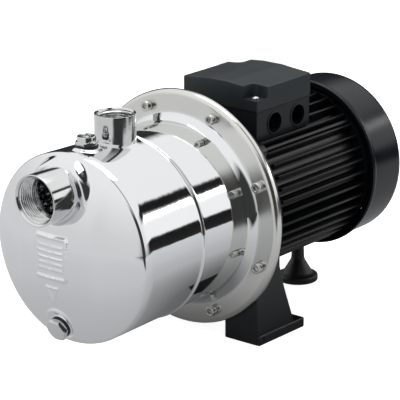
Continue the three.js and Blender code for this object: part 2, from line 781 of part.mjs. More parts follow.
// Half of the front foot: an upright leg under the bracket's flange and a base plate behind it.
function footLeg(side) {
  const { halfWidth, leg, plate, length, webTop, webBottom, webInset } = foot;
  const floor = -axisHeight;
  const inner = halfWidth - leg;
  const front = bracketFront + 3;
  const reach = Math.sqrt((landOuter - 4) ** 2 - halfWidth ** 2);
  const ordered = (a, b) => (side > 0 ? [a, b] : [-b, -a]);
  const [x0, x1] = ordered(inner, halfWidth);
  const [w0, w1] = ordered(inner, halfWidth - webInset);
  const [c0, c1] = ordered(halfWidth - leg * 0.8, halfWidth);
  const web = prismX(
    [
      [front, floor],
      [bracketBack + webBottom, floor],
      [bracketBack + webBottom, floor + plate],
      [bracketBack + webTop, -reach],
      [bracketBack + webTop, -reach + 20],
      [front, -reach + 20],
    ],
    w0,
    w1,
  );
  const cheek = block(c0, c1, front, bracketBack, floor, -reach + 4);
  return [web, cheek, block(x0, x1, front, bracketBack + length, floor, floor + plate)];
}

function buildBracket() {
  const { bellWall, hubWall, web } = bracket;
  const seat = frontBearing.outer;
  const bell = motor.root + 4;
  const recess = landInner - 2;
  const body = turned([
    [seat - 5, bearingFront - web],
    [seat + hubWall, bearingFront - web],
    [bell - 6, bearingFront - web],
    [bell - 2, bracketFront + 4],
    [recess, bracketFront + 4],
    [recess, bracketFront],
    [landOuter - 0.5, bracketFront],
    [landOuter - 0.5, bracketBack],
    [bell + 10, bracketBack],
    [bell, bracketBack + 14],
    [bell, motor.front],
    [bell - bellWall, motor.front],
    [bell - bellWall, bearingFront],
    [seat + hubWall, bearingFront],
    [seat + hubWall, bearingFront + frontBearing.width],
    [seat, bearingFront + frontBearing.width],
    [seat, bearingFront - gap],
    [seat - 5, bearingFront - gap],
  ]);
  const lugs = tieAngles.map((angle) =>
    turnedBy(rod(tieRod.lug, bracketBack - 1, motor.front, coarse).translate(0, 0, tieRing), angle),
  );
  const legs = [...footLeg(1), ...footLeg(-1)];
  const clearBore = rod(bell - bellWall + 1, bracketBack - 4, motor.front + 60, middle);
  const solidLegs = legs.map((leg) => cut(leg, clearBore));
  const tap = screwHole(screws.tapped, bracketFront - 2, bracketBack + 2);
  const tapped = around(screws.count, tap, screwStart);
  const tieHoles = tieAngles.map((angle) =>
    turnedBy(rod(tieRod.radius + gap, bracketBack + 4, motor.front + 2, 10).translate(0, 0, tieRing), angle),
  );
  const slotY = bracketBack + foot.length - footSlot.fromBack - footSlot.radius;
  const slots = [1, -1].map((side) =>
    standing(rod(footSlot.radius, -axisHeight - 2, -axisHeight + foot.plate + 2, 12), 0, slotY).translate(
      side * (foot.halfWidth - footSlot.fromEdge),
      0,
      0,
    ),
  );
  const casting = join(body, ...lugs, ...solidLegs);
  piece('motor_bracket', cut(casting, ...tapped, ...tieHoles, ...slots), blackPaint);
}

function buildRearFoot() {
  const floor = -axisHeight;
  const pad = padBottom;
  const { back, radius, rim, neck, cone, stud, studIn } = rearFoot;
  const coneTop = floor + rim + cone;
  const body = turned([
    [0, floor],
    [radius - 1, floor],
    [radius, floor + 1],
    [radius, floor + rim],
    [radius - 3, floor + rim + 1],
    [neck + 5, coneTop - 8],
    [neck + 1, coneTop],
    [neck, pad - gap],
    [stud + gap, pad - gap],
    [stud + gap, floor + rim],
    [0, floor + rim],
  ], middle);
  piece('rear_foot', standing(body, 0, back), rubber);
  piece('rear_foot_stud', standing(rod(stud, floor + rim + gap, pad + studIn), 0, back), zinc);
}

// ---------------------------------------------------------------- motor frame

function finOutline() {
  const { root, fins, finThickness } = motor;
  const outline = [];
  for (let i = 0; i < fins; i++) {
    const angle = ((i + 0.5) * 2 * Math.PI) / fins;
    const foot = (finThickness * 0.75) / root;
    const tip = (finThickness * 0.35) / finTip;
    [[root, -foot], [finTip, -tip], [finTip, tip], [root, foot]].forEach(([r, turn]) =>
      outline.push(new THREE.Vector2(r * Math.sin(angle + turn), r * Math.cos(angle + turn))),
    );
  }
  return outline.reverse();
}

const boxScrewPlaces = [
  [box.halfWidth + lid.overhang - lidScrew.inset, box.front - lid.overhang + lidScrew.inset],
  [-box.halfWidth - lid.overhang + lidScrew.inset, boxBack + lid.overhang - lidScrew.inset],
];

function buildFrame() {
  const shape = new THREE.Shape(finOutline());
  const frameBore = rod(motor.bore, motorFront - 1, motorBack + 1, fine);
  const finned = cut(prismY(shape, motorFront, motorBack), frameBore);
  const margin = 1.5;
  const clearing = cut(
    block(-box.halfWidth - margin, box.halfWidth + margin, motorFront - 1, boxBack + margin, 40, finTip + 5),
    rod(motor.root, motorFront - 2, motorBack, fine),
  );
  const seat = common(
    tube(motor.root - 3, seatRadius, box.front, boxBack, fine),
    block(-box.halfWidth + 1, box.halfWidth - 1, box.front, boxBack, 30, seatRadius),
  );
  const pad = cut(
    block(-motor.padWidth / 2, motor.padWidth / 2, motorFront, motorBack, padBottom, -motor.root + 2),
    rod(motor.bore, motorFront - 1, motorBack + 1, fine),
  );
  const studHole = standing(
    rod(rearFoot.stud + gap, padBottom - 5, padBottom + rearFoot.studIn + gap),
    0,
    rearFoot.back,
  );
  piece('motor_frame', cut(join(cut(finned, clearing), seat, pad), studHole), blackPaint);
}

function buildRearShield() {
  const { rimHeight, hubWall, thickness } = shield;
  const seat = rearBearing.outer;
  const rim = motor.root + 9;
  const body = turned([
    [seat - 4, rearBearingBack + gap],
    [seat, rearBearingBack + gap],
    [seat, rearBearingFront],
    [seat + hubWall, rearBearingFront],
    [seat + hubWall, shieldBack - thickness],
    [motor.root - 7, shieldBack - thickness],
    [motor.root - 4, shieldFront],
    [rim, shieldFront],
    [rim, shieldFront + rimHeight - 2],
    [rim - 2, shieldBack],
    [seat - 4, shieldBack],
  ], middle);
  const holes = tieAngles.map((angle) =>
    turnedBy(rod(tieRod.radius + gap, shieldFront - 2, shieldBack + 2, 10).translate(0, 0, tieRing), angle),
  );
  piece('rear_shield', cut(body, ...holes), castAluminium);
  const washerBack = rearBearingFront - gap;
  const washer = tube(rearBearing.outer - 5, rearBearing.outer - 1, washerBack - 0.8, washerBack, coarse);
  piece('preload_washer', washer, steel);

  const headBack = shieldBack + gap + tieRod.headHeight;
  const bolt = join(
    rod(tieRod.radius, bracketBack + 6, shieldBack + 1, 8),
    prismY(hexagon(tieRod.head * 2), shieldBack + gap, headBack),
  );
  tieAngles.forEach((angle, i) => {
    const shape = turnedBy(geometryOf(bolt).translate(0, 0, tieRing), angle);
    piece(`tie_rod_${i + 1}`, shape, zinc);
  });
}

function buildFan() {
  const { radius, disc, hub, bladeWidth, blades } = fan;
  const bore = shaft.fan + gap;
  const wheel = turned([
    [bore, fanFront],
    [hub, fanFront],
    [hub, fanFront + bladeWidth],
    [radius - 14, fanFront + bladeWidth],
    [radius - 14, fanBack],
    [bore, fanBack],
  ], middle);
  const blade = () => block(-1, 1, fanFront, fanFront + bladeWidth + 1, hub - 1, radius);
  piece('cooling_fan', join(wheel, ...around(blades, blade, 10)), blackPlastic);
  const clip = tube(shaft.fan + gap, shaft.fan + 3, fanBack + gap, fanBack + gap + 1.2, middle);
  piece('fan_clip', clip, steel);
}

function buildFanCover() {
  const { wall: skin, lip, lipWidth, corner } = fanCover;
  const radius = fanCoverRadius;
  const cornerArc = (r) =>
    [0, 30, 60, 90].map((degrees) => {
      const angle = THREE.MathUtils.degToRad(degrees);
      return [radius - corner + r * Math.cos(angle), coverEnd - corner + r * Math.sin(angle)];
    });
  const shell = turned([
    [0, coverEnd - skin],
    ...cornerArc(corner - skin).reverse(),
    [radius - skin, coverStart],
    [radius + lip - 0.6, coverStart],
    [radius + lip, coverStart + 1],
    [radius + lip, coverStart + lipWidth],
    [radius, coverStart + lipWidth + 2],
    ...cornerArc(corner),
    [0, coverEnd],
  ]);
  const { slots, inner, outer, width } = grille;
  const slot = () => block(-width / 2, width / 2, coverEnd - skin - 2, coverEnd + 2, inner, outer);
  piece('fan_cover', cut(shell, ...around(slots, slot)), blackPlastic);
}

// ---------------------------------------------------------------- terminal box

function buildTerminalBox() {
  const { halfWidth, front, wall: skin } = box;
  const saddle = (radius) => rod(radius, front - 5, boxBack + 5, fine);
  const outer = cut(block(-halfWidth, halfWidth, front, boxBack, boxBottom, boxTop), saddle(saddleRadius));
  const inner = cut(
    block(-halfWidth + skin, halfWidth - skin, front + skin, boxBack - skin, boxBottom - 1, boxTop + 1),
    saddle(saddleRadius + skin),
  );
  const entryHeight = boxBottom + entry.above;
  const entryHole = (along) =>
    rod(entry.radius, halfWidth - skin - 2, halfWidth + 3, 20)
      .rotateZ(-Math.PI / 2)
      .translate(0, front + along, entryHeight);
  const bosses = boxScrewPlaces.map(([x, y]) =>
    cut(
      standing(rod(lidScrew.boss, saddleRadius - 8, boxTop), x, y),
      saddle(saddleRadius),
      standing(rod(lidScrew.hole, 0, boxTop + 5, 10), x, y),
    ),
  );
  const clip = block(-halfWidth, halfWidth, front, boxBack, boxBottom, boxTop);
  const body = join(cut(outer, inner), ...bosses.map((column) => common(column, clip)));
  const screwBores = boxScrewPlaces.map(([x, y]) =>
    standing(rod(lidScrew.hole, boxTop - 14, boxTop + 5, 10), x, y),
  );
  const entryHoles = [entryHole(entry.first), entryHole(entry.second)];
  piece('terminal_box', cut(body, ...entryHoles, ...screwBores), boxPlastic);

  const gasketBottom = boxTop + gap;
  const gasketTop = gasketBottom + box.gasket;
  const frameGasket = cut(
    block(-halfWidth, halfWidth, front, boxBack, gasketBottom, gasketTop),
    block(-halfWidth + 9, halfWidth - 9, front + 9, boxBack - 9, gasketBottom - 1, gasketTop + 1),
    ...boxScrewPlaces.map(([x, y]) => standing(rod(lidScrew.hole, boxTop - 5, boxTop + 9, 10), x, y)),
  );
  piece('terminal_box_gasket', frameGasket, rubber);
}

function buildLid() {
  const edge = box.halfWidth + lid.overhang;
  const [y0, y1] = [box.front - lid.overhang, boxBack + lid.overhang];
  const skin = box.wall;
  const roof = (inset) => [
    [-edge + inset, lidBottom - (inset ? 1 : 0)],
    [edge - inset, lidBottom - (inset ? 1 : 0)],
    [edge - inset, lidTop - lid.roofFall - inset],
    [lid.ridgeRight, lidTop - inset],
    [-lid.ridgeLeft, lidTop - inset],
    [-edge + inset, lidTop - lid.roofFall - inset],
  ];
  const shell = cut(prismY(roof(0), y0, y1), prismY(roof(skin), y0 + skin, y1 - skin));
  // A rounded notch for the screw at the front right corner, and its twin diagonally across.
  const notchAt = (grow, bottom, top) => {
    const reach = lid.notch + grow;
    const outline = new THREE.Shape();
    outline.moveTo(edge + 20, y0 - 20);
    outline.lineTo(edge + 20, y0 + reach);
    outline.lineTo(edge - reach * 0.45, y0 + reach);
    outline.quadraticCurveTo(edge - reach, y0 + reach, edge - reach, y0 + reach * 0.45);
    outline.lineTo(edge - reach, y0 - 20);
    const settings = { depth: top - bottom, bevelEnabled: false, curveSegments: 4 };
    const front = new THREE.ExtrudeGeometry(outline, settings);
    front.translate(0, 0, bottom);
    return [front, front.clone().rotateZ(Math.PI).translate(0, y0 + y1, 0)];
  };
  const outside = prismY(roof(0), y0, y1);
  const pockets = notchAt(skin, lidBottom, lidTop + 5).map((corner) => common(outside, corner));
  const notches = notchAt(0, ledgeTop, lidTop + 10);
  const holes = boxScrewPlaces.map(([x, y]) =>
    standing(rod(lidScrew.hole, lidBottom - 5, lidTop + 5, 8), x, y),
  );
  piece('terminal_box_lid', cut(join(shell, ...pockets), ...notches, ...holes), boxPlastic);

  const head = ledgeTop + gap;
  boxScrewPlaces.forEach(([x, y], i) => {
    const screw = cut(
      join(
        rod(lidScrew.radius, boxTop - 12, head + 1, 8),
        rod(lidScrew.head, head, head + lidScrew.headHeight, 12),
      ),
      block(-4, 4, head + 1.4, head + 4, -0.5, 0.5),
    );
    piece(`lid_screw_${i + 1}`, standing(geometryOf(screw), x, y), zinc);
  });
}

function buildBoxContents() {
  const floor = saddleRadius + box.wall + gap;
  const top = floor + terminals.height;
  const x0 = 6;
  const y0 = box.front + 26;
  const base = block(x0, x0 + terminals.width, y0, y0 + terminals.length, floor, top);
  const posts = [0, 1, 2].flatMap((row) =>
    [0, 1].map((column) =>
      standing(rod(terminals.post, top - 1, top + 6, 8), x0 + 7 + column * 12, y0 + 6 + row * 11),
    ),
  );
  piece('terminal_block', join(base, ...posts), whitePlastic);
  const can = rod(capacitor.radius, 0, capacitor.length, 20).translate(
    -16,
    box.front + 11,
    floor + capacitor.radius + 2,
  );
  piece('capacitor', can, whitePlastic);
}

// ---------------------------------------------------------------- the whole pump

buildCasing();
buildPlugs();
buildFlangeScrews();
buildCover();
buildImpeller();
buildDiffuser();
buildEjector();
buildShaftSeal();
buildShaft();
buildRotorAndStator();
buildBearing('front', frontBearing, bearingFront);
buildBearing('rear', rearBearing, rearBearingFront);
buildBracket();
buildRearFoot();
buildFrame();
buildRearShield();
buildFan();
buildFanCover();
buildTerminalBox();
buildLid();
buildBoxContents();

// The origin is on the ground, under the middle of the pump's length.
pump.position.set(0, -(suctionFace + coverEnd) / 2, axisHeight);

export default pump;
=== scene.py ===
# %% [markdown]
# # A shallow well jet pump
#
# The pump is a polished steel pot with two pipe sockets, bolted to a black cast bracket, and a finned
# electric motor behind it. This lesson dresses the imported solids: each visible piece is worked out again as
# a fine surface, in the place that its solid holds, and gets a finish built from shader nodes.
# Sizes are in millimetres in a frame of the pump's own: the shaft is the Y axis, zero is the rear edge of
# the casing's flange, and angles run from the top (+Z) towards the right (+X).

import json
import math

import bmesh
import bpy
import numpy as np
from mathutils import Matrix, Vector


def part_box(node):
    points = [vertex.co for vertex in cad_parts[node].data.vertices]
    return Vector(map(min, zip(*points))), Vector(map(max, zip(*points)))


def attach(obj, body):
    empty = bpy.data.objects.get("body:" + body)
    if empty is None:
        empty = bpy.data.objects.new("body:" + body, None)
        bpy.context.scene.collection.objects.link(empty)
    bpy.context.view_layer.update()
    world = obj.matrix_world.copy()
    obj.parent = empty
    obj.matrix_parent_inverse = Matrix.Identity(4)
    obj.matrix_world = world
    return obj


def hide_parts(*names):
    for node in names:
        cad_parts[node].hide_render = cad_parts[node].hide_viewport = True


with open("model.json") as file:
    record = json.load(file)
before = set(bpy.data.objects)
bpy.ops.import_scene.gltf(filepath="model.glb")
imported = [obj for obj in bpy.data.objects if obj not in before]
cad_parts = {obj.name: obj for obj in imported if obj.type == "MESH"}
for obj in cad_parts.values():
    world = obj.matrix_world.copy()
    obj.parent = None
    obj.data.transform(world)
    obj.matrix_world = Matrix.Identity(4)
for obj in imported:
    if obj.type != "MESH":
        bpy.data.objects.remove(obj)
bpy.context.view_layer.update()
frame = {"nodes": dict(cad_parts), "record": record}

MM = 0.001
LIP_BACK = 1.0  # the flange's rolled lip ends this far behind zero
shell_low, shell_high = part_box("casing_shell")
AXIS_HEIGHT = (shell_low.z + shell_high.z) / 2 / MM
FLANGE_Y = shell_high.y / MM - LIP_BACK
print("shaft height", round(AXIS_HEIGHT, 1), "mm, flange plane at", round(FLANGE_Y, 1), "mm")

# %% [markdown]
# ## Surfaces from arrays
#
# Nearly every piece here is turned, drawn or extruded, so one idea makes them all: a table of points with
# rows along a profile and columns along a path, joined to its neighbours by quads. The points are whole
# numpy arrays, so a change to a formula changes the surface everywhere at once.

# %% Grids and meshes
def grid(points, around=True, loop=False):
    """Quads between neighbours of a rows x columns x 3 table. around joins the last column to the first,
    and loop joins the last row to the first."""
    rows, columns = points.shape[:2]
    index = np.arange(rows * columns).reshape(rows, columns)
    if around:
        index = np.concatenate([index, index[:, :1]], axis=1)
    if loop:
        index = np.concatenate([index, index[:1]], axis=0)
    quads = np.stack([index[:-1, :-1], index[:-1, 1:], index[1:, 1:], index[1:, :-1]], axis=-1)
    return points.reshape(-1, 3), quads.reshape(-1, 4).tolist()


def together(*shapes):
    """Several shapes as one: the points follow each other and the faces count on from them."""
    points, faces, start = [], [], 0
    for some_points, some_faces in shapes:
        points.append(some_points)
        faces += [[corner + start for corner in face] for face in some_faces]
        start += len(some_points)
    return np.concatenate(points), faces


def angles(columns):
    """Evenly spaced angles of a full circle, from the top towards the right."""
    return np.linspace(0, 2 * np.pi, columns, endpoint=False)


def turned(profile, columns=96):
    """Radius and y pairs turned about the shaft: x = r sin a, z = r cos a."""
    radius, y = np.asarray(profile, float).T
    a = angles(columns)
    ring = np.ones(columns)
    return np.stack([np.outer(radius, np.sin(a)), np.outer(y, ring), np.outer(radius, np.cos(a))], axis=-1)


def prism(outline, low, high, axis="x"):
    """A flat outline carried straight from low to high along an axis, with a face at each end."""
    outline = np.asarray(outline, float)
    a, b = outline.T
    ends = []
    for at in (low, high):
        level = np.full(len(outline), float(at))
        ends.append(np.stack({"x": [level, a, b], "y": [a, level, b], "z": [a, b, level]}[axis], axis=-1))
    points, faces = grid(np.stack(ends))
    count = len(outline)
    return points, faces + [list(range(count)), list(range(count, 2 * count))]


def tilted(points, degrees):
    """Turned about X: (y, z) becomes (y cos a - z sin a, y sin a + z cos a)."""
    c, s = math.cos(math.radians(degrees)), math.sin(math.radians(degrees))
    x, y, z = points[..., 0], points[..., 1], points[..., 2]
    return np.stack([x, y * c - z * s, y * s + z * c], axis=-1)


def spun(points, degrees):
    """Turned about the shaft, from the top towards the right."""
    c, s = math.cos(math.radians(degrees)), math.sin(math.radians(degrees))
    x, y, z = points[..., 0], points[..., 1], points[..., 2]
    return np.stack([x * c + z * s, y, z * c - x * s], axis=-1)


def rounded(corners, steps=5):
    """An open line whose inner corners (a, b, radius) are replaced by curves that leave and meet the
    straight stretches smoothly: a quadratic curve from one side of the corner to the other."""
    corners = np.asarray(corners, float)
    spots, radii = corners[:, :2], corners[:, 2]
    line = [spots[0]]
    share = np.linspace(0, 1, steps + 1)[:, None]
    for before, spot, after, radius in zip(spots, spots[1:], spots[2:], radii[1:]):
        if radius <= 0:
            line.append(spot)
            continue
        back, ahead = before - spot, after - spot
        reach = min(radius, np.linalg.norm(back) * 0.49, np.linalg.norm(ahead) * 0.49)
        first = spot + back / np.linalg.norm(back) * reach
        last = spot + ahead / np.linalg.norm(ahead) * reach
        line += list((1 - share) ** 2 * first + 2 * share * (1 - share) * spot + share**2 * last)
    line.append(spots[-1])
    return np.array(line)


def smooth(low, high, value):
    """0 below low, 1 above high, and an S-curve 3t^2 - 2t^3 between."""
    t = np.clip((value - low) / (high - low), 0, 1)
    return t * t * (3 - 2 * t)


print("surface helpers ready")

# %% [markdown]
# ## From a surface to a piece
#
# A piece needs more than a mesh. It rides on a body of the moving model, it stands for one or more of the
# imported solids, and it gets the finish that it is given. One function does all of
# that, and it also closes seams and poles by merging points that coincide.

# %% Making a piece
# where the pump's own zero stands in the frame, in millimetres
PUMP_ORIGIN = np.array([0, FLANGE_Y, AXIS_HEIGHT])


def placed(points):
    """From the pump's own millimetres to the frame's metres."""
    return (points + PUMP_ORIGIN) * MM


def mesh_of(name, shape, crease):
    """A smooth-shaded mesh with its seams and poles merged, and its edges sharp past the crease angle."""
    points, faces = shape
    mesh = bpy.data.meshes.new(name)
    mesh.from_pydata(placed(points).tolist(), [], faces)
    work = bmesh.new()
    work.from_mesh(mesh)
    bmesh.ops.remove_doubles(work, verts=work.verts, dist=2e-6)
    bmesh.ops.dissolve_degenerate(work, dist=1e-7, edges=work.edges)
    bmesh.ops.recalc_face_normals(work, faces=work.faces)
    work.to_mesh(mesh)
    work.free()
    mesh.shade_smooth()
    mesh.set_sharp_from_angle(angle=math.radians(crease))
    return mesh


def piece(name, shape, finish, body, nodes, crease=35, bevel=0.0, wall=0.0):
    """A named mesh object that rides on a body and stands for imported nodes."""
    made = bpy.data.objects.new(name, mesh_of(name, shape, crease))
    bpy.context.scene.collection.objects.link(made)
    made.data.materials.append(finish)
    if wall:
        thick = made.modifiers.new("wall", "SOLIDIFY")
        thick.thickness = wall * MM
        thick.offset = -1
    if bevel:
        edge = made.modifiers.new("edges", "BEVEL")
        edge.width = bevel * MM
        edge.segments = 3
        edge.limit_method = "ANGLE"
        edge.angle_limit = math.radians(35)
    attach(made, body)
    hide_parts(*nodes)
    print(f"{name}: {len(made.data.polygons)} faces")
    return made


def carved(name, solid, tools):
    """A solid less its tools, worked out by Blender's exact boolean and returned as plain arrays."""
    made = [bpy.data.objects.new(name, mesh_of(name, shape, 180)) for shape in (solid, *tools)]
    for thing in made:
        bpy.context.scene.collection.objects.link(thing)
    for tool in made[1:]:
        cut = made[0].modifiers.new("cut", "BOOLEAN")
        cut.operation = "DIFFERENCE"
        cut.object = tool
    result = made[0].evaluated_get(bpy.context.evaluated_depsgraph_get()).to_mesh()
    points = np.empty(len(result.vertices) * 3)
    result.vertices.foreach_get("co", points)
    faces = [list(polygon.vertices) for polygon in result.polygons]
    for thing in made:
        bpy.data.objects.remove(thing)
    return points.reshape(-1, 3) / MM - PUMP_ORIGIN, faces


print("a piece is made in a frame whose zero stands at", PUMP_ORIGIN.round(1).tolist(), "mm")

# %% [markdown]
# ## Shader maths as expressions
#
# A finish is easier to read as a formula than as a list of links. A small class wraps a socket, so that
# adding or multiplying two values adds the Math node that does it.

# %% The finish helpers
class Value:
    """A shader socket that can be used in a sum: each operator adds the Math node that works it out."""

    def __init__(self, shading, socket):
        self.shading = shading
        self.socket = socket

    def _math(self, operation, first, second):
        return self.shading.node("ShaderNodeMath", {"operation": operation}, {0: first, 1: second})

    def __add__(self, other):
        return self._math("ADD", self, other)

    def __sub__(self, other):
        return self._math("SUBTRACT", self, other)

    def __rsub__(self, other):
        return self._math("SUBTRACT", other, self)

    def __mul__(self, other):
        return self._math("MULTIPLY", self, other)

    __radd__ = __add__
    __rmul__ = __mul__


class Shading:
    """A node tree under construction. Every node in it comes from one method, node()."""

    def __init__(self, tree):
        self.tree = tree

    def node(self, kind, settings, inputs, output=0):
        """Adds a node: its settings first, then a value or a link for each of its named sockets."""
        made = self.tree.nodes.new(kind)
        for key, value in settings.items():
            if key == "stops":
                self._stops(made.color_ramp, value)
            else:
                setattr(made, key, value)
        for key, value in inputs.items():
            self._feed(made.inputs[key], value)
        return Value(self, made.outputs[output]) if made.outputs else None

    def _stops(self, ramp, stops):
        while len(ramp.elements) < len(stops):
            ramp.elements.new(0.5)
        for element, (position, level) in zip(ramp.elements, stops):
            element.position = position
            element.color = (level, level, level, 1)

    def _feed(self, socket, value):
        if isinstance(value, Value):
            self.tree.links.new(value.socket, socket)
        else:
            socket.default_value = value

    def ramp(self, value, *stops):
        """A grey that follows the stops (position, level) as the value goes from 0 to 1."""
        return self.node("ShaderNodeValToRGB", {"stops": stops}, {"Fac": value}, "Color")

    def between(self, value, low, high, first=0.0, last=1.0):
        """Goes from first to last as the value goes from low to high, and stays there past both."""
        return self.node("ShaderNodeMapRange", {}, {0: value, 1: low, 2: high, 3: first, 4: last})

    def blend(self, share, first, second):
        """The first colour where the share is 0, the second where it is 1."""
        first, second = (c if isinstance(c, Value) else (*c, 1) for c in (first, second))
        return self.node("ShaderNodeMix", {"data_type": "RGBA"}, {0: share, 6: first, 7: second}, 2)

    def split(self, vector):
        """The x, y and z of a vector."""
        x = self.node("ShaderNodeSeparateXYZ", {}, {0: vector})
        return [Value(self, socket) for socket in x.socket.node.outputs]


class Finish(Shading):
    """A material under construction, around one Principled shader, placed by Object coordinates."""

    def __init__(self, name):
        self.material = bpy.data.materials.new(name)
        self.material.use_nodes = True
        super().__init__(self.material.node_tree)
        self.shader = self.tree.nodes["Principled BSDF"]
        self.place = self.node("ShaderNodeTexCoord", {}, {}, "Object")

    def set(self, **values):
        """Feeds the shader's own sockets, with _ for a space in a socket's name."""
        for key, value in values.items():
            self._feed(self.shader.inputs[key.replace("_", " ")], value)
        return self

    def noise(self, scale, detail=3.0, place=None):
        """A cloudy value near 0.5 whose lumps are about 1 / scale metres apart."""
        inputs = {"Vector": place or self.place, "Scale": scale, "Detail": detail}
        return self.node("ShaderNodeTexNoise", {}, inputs, "Fac")

    def bump(self, height, strength, distance):
        """Tilts the surface as if it rose by height times distance, in metres."""
        inputs = {"Height": height, "Strength": strength, "Distance": distance}
        self.set(Normal=self.node("ShaderNodeBump", {}, inputs, "Normal"))
        return self

    def across(self):
        """Distance from the shaft, in metres, the place along it, and the angle from the top."""
        x, y, z = self.split(self.place)
        up = z - AXIS_HEIGHT * MM
        distance = self.node("ShaderNodeMath", {"operation": "POWER"}, {0: x * x + up * up, 1: 0.5})
        return distance, y, self.node("ShaderNodeMath", {"operation": "ARCTAN2"}, {0: x, 1: up})


print("finish helpers ready")

# %% [markdown]
# ## Polished steel
#
# The casing is drawn stainless sheet, polished like a mirror: fully metallic, with a very low roughness.
# What keeps it from looking like glass is small: faint polishing streaks that run round it, a little
# smearing where hands have been, and a duller, warmer flange, where the polishing wheel doesn't reach.

# %% Steel finishes
FLANGE_FLAT = (90.5, 93.5)  # the flange starts between these distances from the shaft
FLANGE_BEHIND = (-14, -9)  # and between these places along it


def polished_steel():
    """Roughness 0.035 + 0.045 of a smear + 0.13 on the flange, over long streaks that run round the shaft."""
    f = Finish("polished steel")
    radius, along, angle = f.across()
    flat = f.between(radius, *(edge * MM for edge in FLANGE_FLAT))
    behind = f.between(along, *((FLANGE_Y + edge) * MM for edge in FLANGE_BEHIND))
    flange = flat * behind
    streaks = f.node("ShaderNodeCombineXYZ", {}, {0: angle * 0.35, 1: along * 9.0, 2: radius * 9.0})
    streak = f.noise(9.0, 3.0, streaks)
    smear = f.noise(26.0, 4.0)
    wave = f.noise(11.0, 1.5)
    f.set(Base_Color=f.blend(flange, (0.80, 0.81, 0.82), (0.72, 0.72, 0.69)))
    f.set(Metallic=1.0, Roughness=0.035 + 0.045 * smear + flange * 0.13)
    return f.bump(streak * 0.5 + smear * 0.25 + wave * 1.6, 0.10, 0.0016).material


def turned_steel(name, color, roughness):
    """A light grain in the roughness and the surface, and a colour that darkens by up to 18% in clouds."""
    f = Finish(name)
    grain = f.noise(420.0, 4.0)
    cloud = f.noise(60.0, 2.0)
    f.set(Base_Color=f.blend(cloud, color, tuple(c * 0.82 for c in color)))
    f.set(Metallic=1.0, Roughness=roughness + 0.12 * grain)
    return f.bump(grain, 0.06, 0.0004).material


POLISHED = polished_steel()
ZINC = turned_steel("zinc plated steel", (0.66, 0.66, 0.63), 0.16)
BRIGHT = turned_steel("ground steel", (0.70, 0.70, 0.71), 0.14)
SOCKET = turned_steel("socket steel", (0.78, 0.785, 0.79), 0.05)
print("steel finishes:", ", ".join(m.name for m in (POLISHED, ZINC, BRIGHT, SOCKET)))

# %% [markdown]
# ## Blacks
#
# A black pump motor has several blacks: paint over a rough casting, a satin moulded fan cover, a greener,
# matter terminal box, and rubber. They differ in how sharp their highlights are and in what breaks them up.

# %% Black finishes
def coated(name, color, worn, roughness, spread, grain_scale, grain_depth, specular=0.5):
    """Paint or moulding: a colour that drifts slightly, a roughness that drifts with it, and a fine skin."""
    f = Finish(name)
    cloud = f.noise(34.0, 4.0)
    grain = f.noise(grain_scale, 3.0)
    f.set(Base_Color=f.blend(f.ramp(cloud, (0.35, 0.0), (0.75, 1.0)), color, worn))
    f.set(Roughness=roughness + spread * cloud, Specular_IOR_Level=specular)
    return f.bump(grain * 0.7 + cloud * 0.3, 0.25, grain_depth).material


CASTING = coated(
    "black painted casting", (0.002, 0.0025, 0.004), (0.007, 0.009, 0.013), 0.26, 0.18, 900, 0.0005, 0.42
)
FINS = coated(
    "black finned housing", (0.002, 0.0023, 0.003), (0.004, 0.005, 0.007), 0.24, 0.16, 1100, 0.0003, 0.32
)
COVER = coated(
    "satin black cover", (0.002, 0.003, 0.006), (0.004, 0.006, 0.010), 0.15, 0.14, 1300, 0.0001, 0.36
)
CHARCOAL = coated(
    "charcoal moulding", (0.014, 0.021, 0.024), (0.018, 0.026, 0.030), 0.40, 0.14, 1500, 0.0002, 0.5
)
DARK_BOX = coated(
    "dark moulding", (0.006, 0.008, 0.011), (0.009, 0.011, 0.014), 0.38, 0.14, 1500, 0.0002, 0.4
)
RUBBER = coated(
    "black rubber", (0.004, 0.004, 0.005), (0.008, 0.008, 0.009), 0.36, 0.20, 700, 0.0003, 0.6
)
DARK_ROD = coated(
    "painted screw", (0.006, 0.007, 0.009), (0.012, 0.014, 0.018), 0.30, 0.15, 900, 0.0002, 0.5
)
MOULDED = coated(
    "glass filled moulding", (0.02, 0.021, 0.023), (0.03, 0.031, 0.033), 0.5, 0.1, 900, 0.0003
)
WHITE = coated("white moulding", (0.62, 0.62, 0.60), (0.56, 0.56, 0.53), 0.4, 0.1, 900, 0.0002)
print("black finishes ready")

# %% [markdown]
# ## The casing
#
# The front of the pot is a shallow dome that is pressed further in two places: on each side a leaf-shaped
# field runs out flat to a sharp crease on the pot's edge, while above and below the sheet rolls over a soft
# shoulder. A raised ring carries the suction socket. All of it is one height over the (x, z) plane, so the
# front is a single formula, and the crease comes out by itself where the field meets the side.

# %% Sizes of the casing
# the pot's side: its radius at the front, at the bead and behind the bead
FRONT_RADIUS, BEAD_RADIUS, REAR_RADIUS = 87.5, 85.5, 84.5
# the dome: how far ahead of the flange it stands, its curve, and how far its top is below the shaft
CROWN, DOME_RADIUS, DOME_LOW = 184.5, 163.0, 5.0
# the soft shoulder: its width, and how far it falls at the top and at the bottom
SHOULDER, DROP_TOP, DROP_BOTTOM = 28.0, 1.5, 8.0
# the two pressed fields: where they start, their depth there, their fall outwards, and their top and bottom
FIELD_EDGE, FIELD_SET, FIELD_FALL = 38.0, 9.0, 18.0
FIELD_TOP, FIELD_BOTTOM = 38.0, -47.0
# the suction socket: its height, its mouth, its radius, and the raised ring that it stands on
PORT_HEIGHT, PORT_FACE, PORT_OUTER, PORT_SEAT = 55.0, -202.0, 23.5, 173.0
# the bead, and the flange: the fillet into it, its flat land, its rolled lip and the land's place
BEAD_AT, FILLET, LAND, LIP, LAND_FRONT = -76.0, 8.0, 14.5, 5.0, -6.0
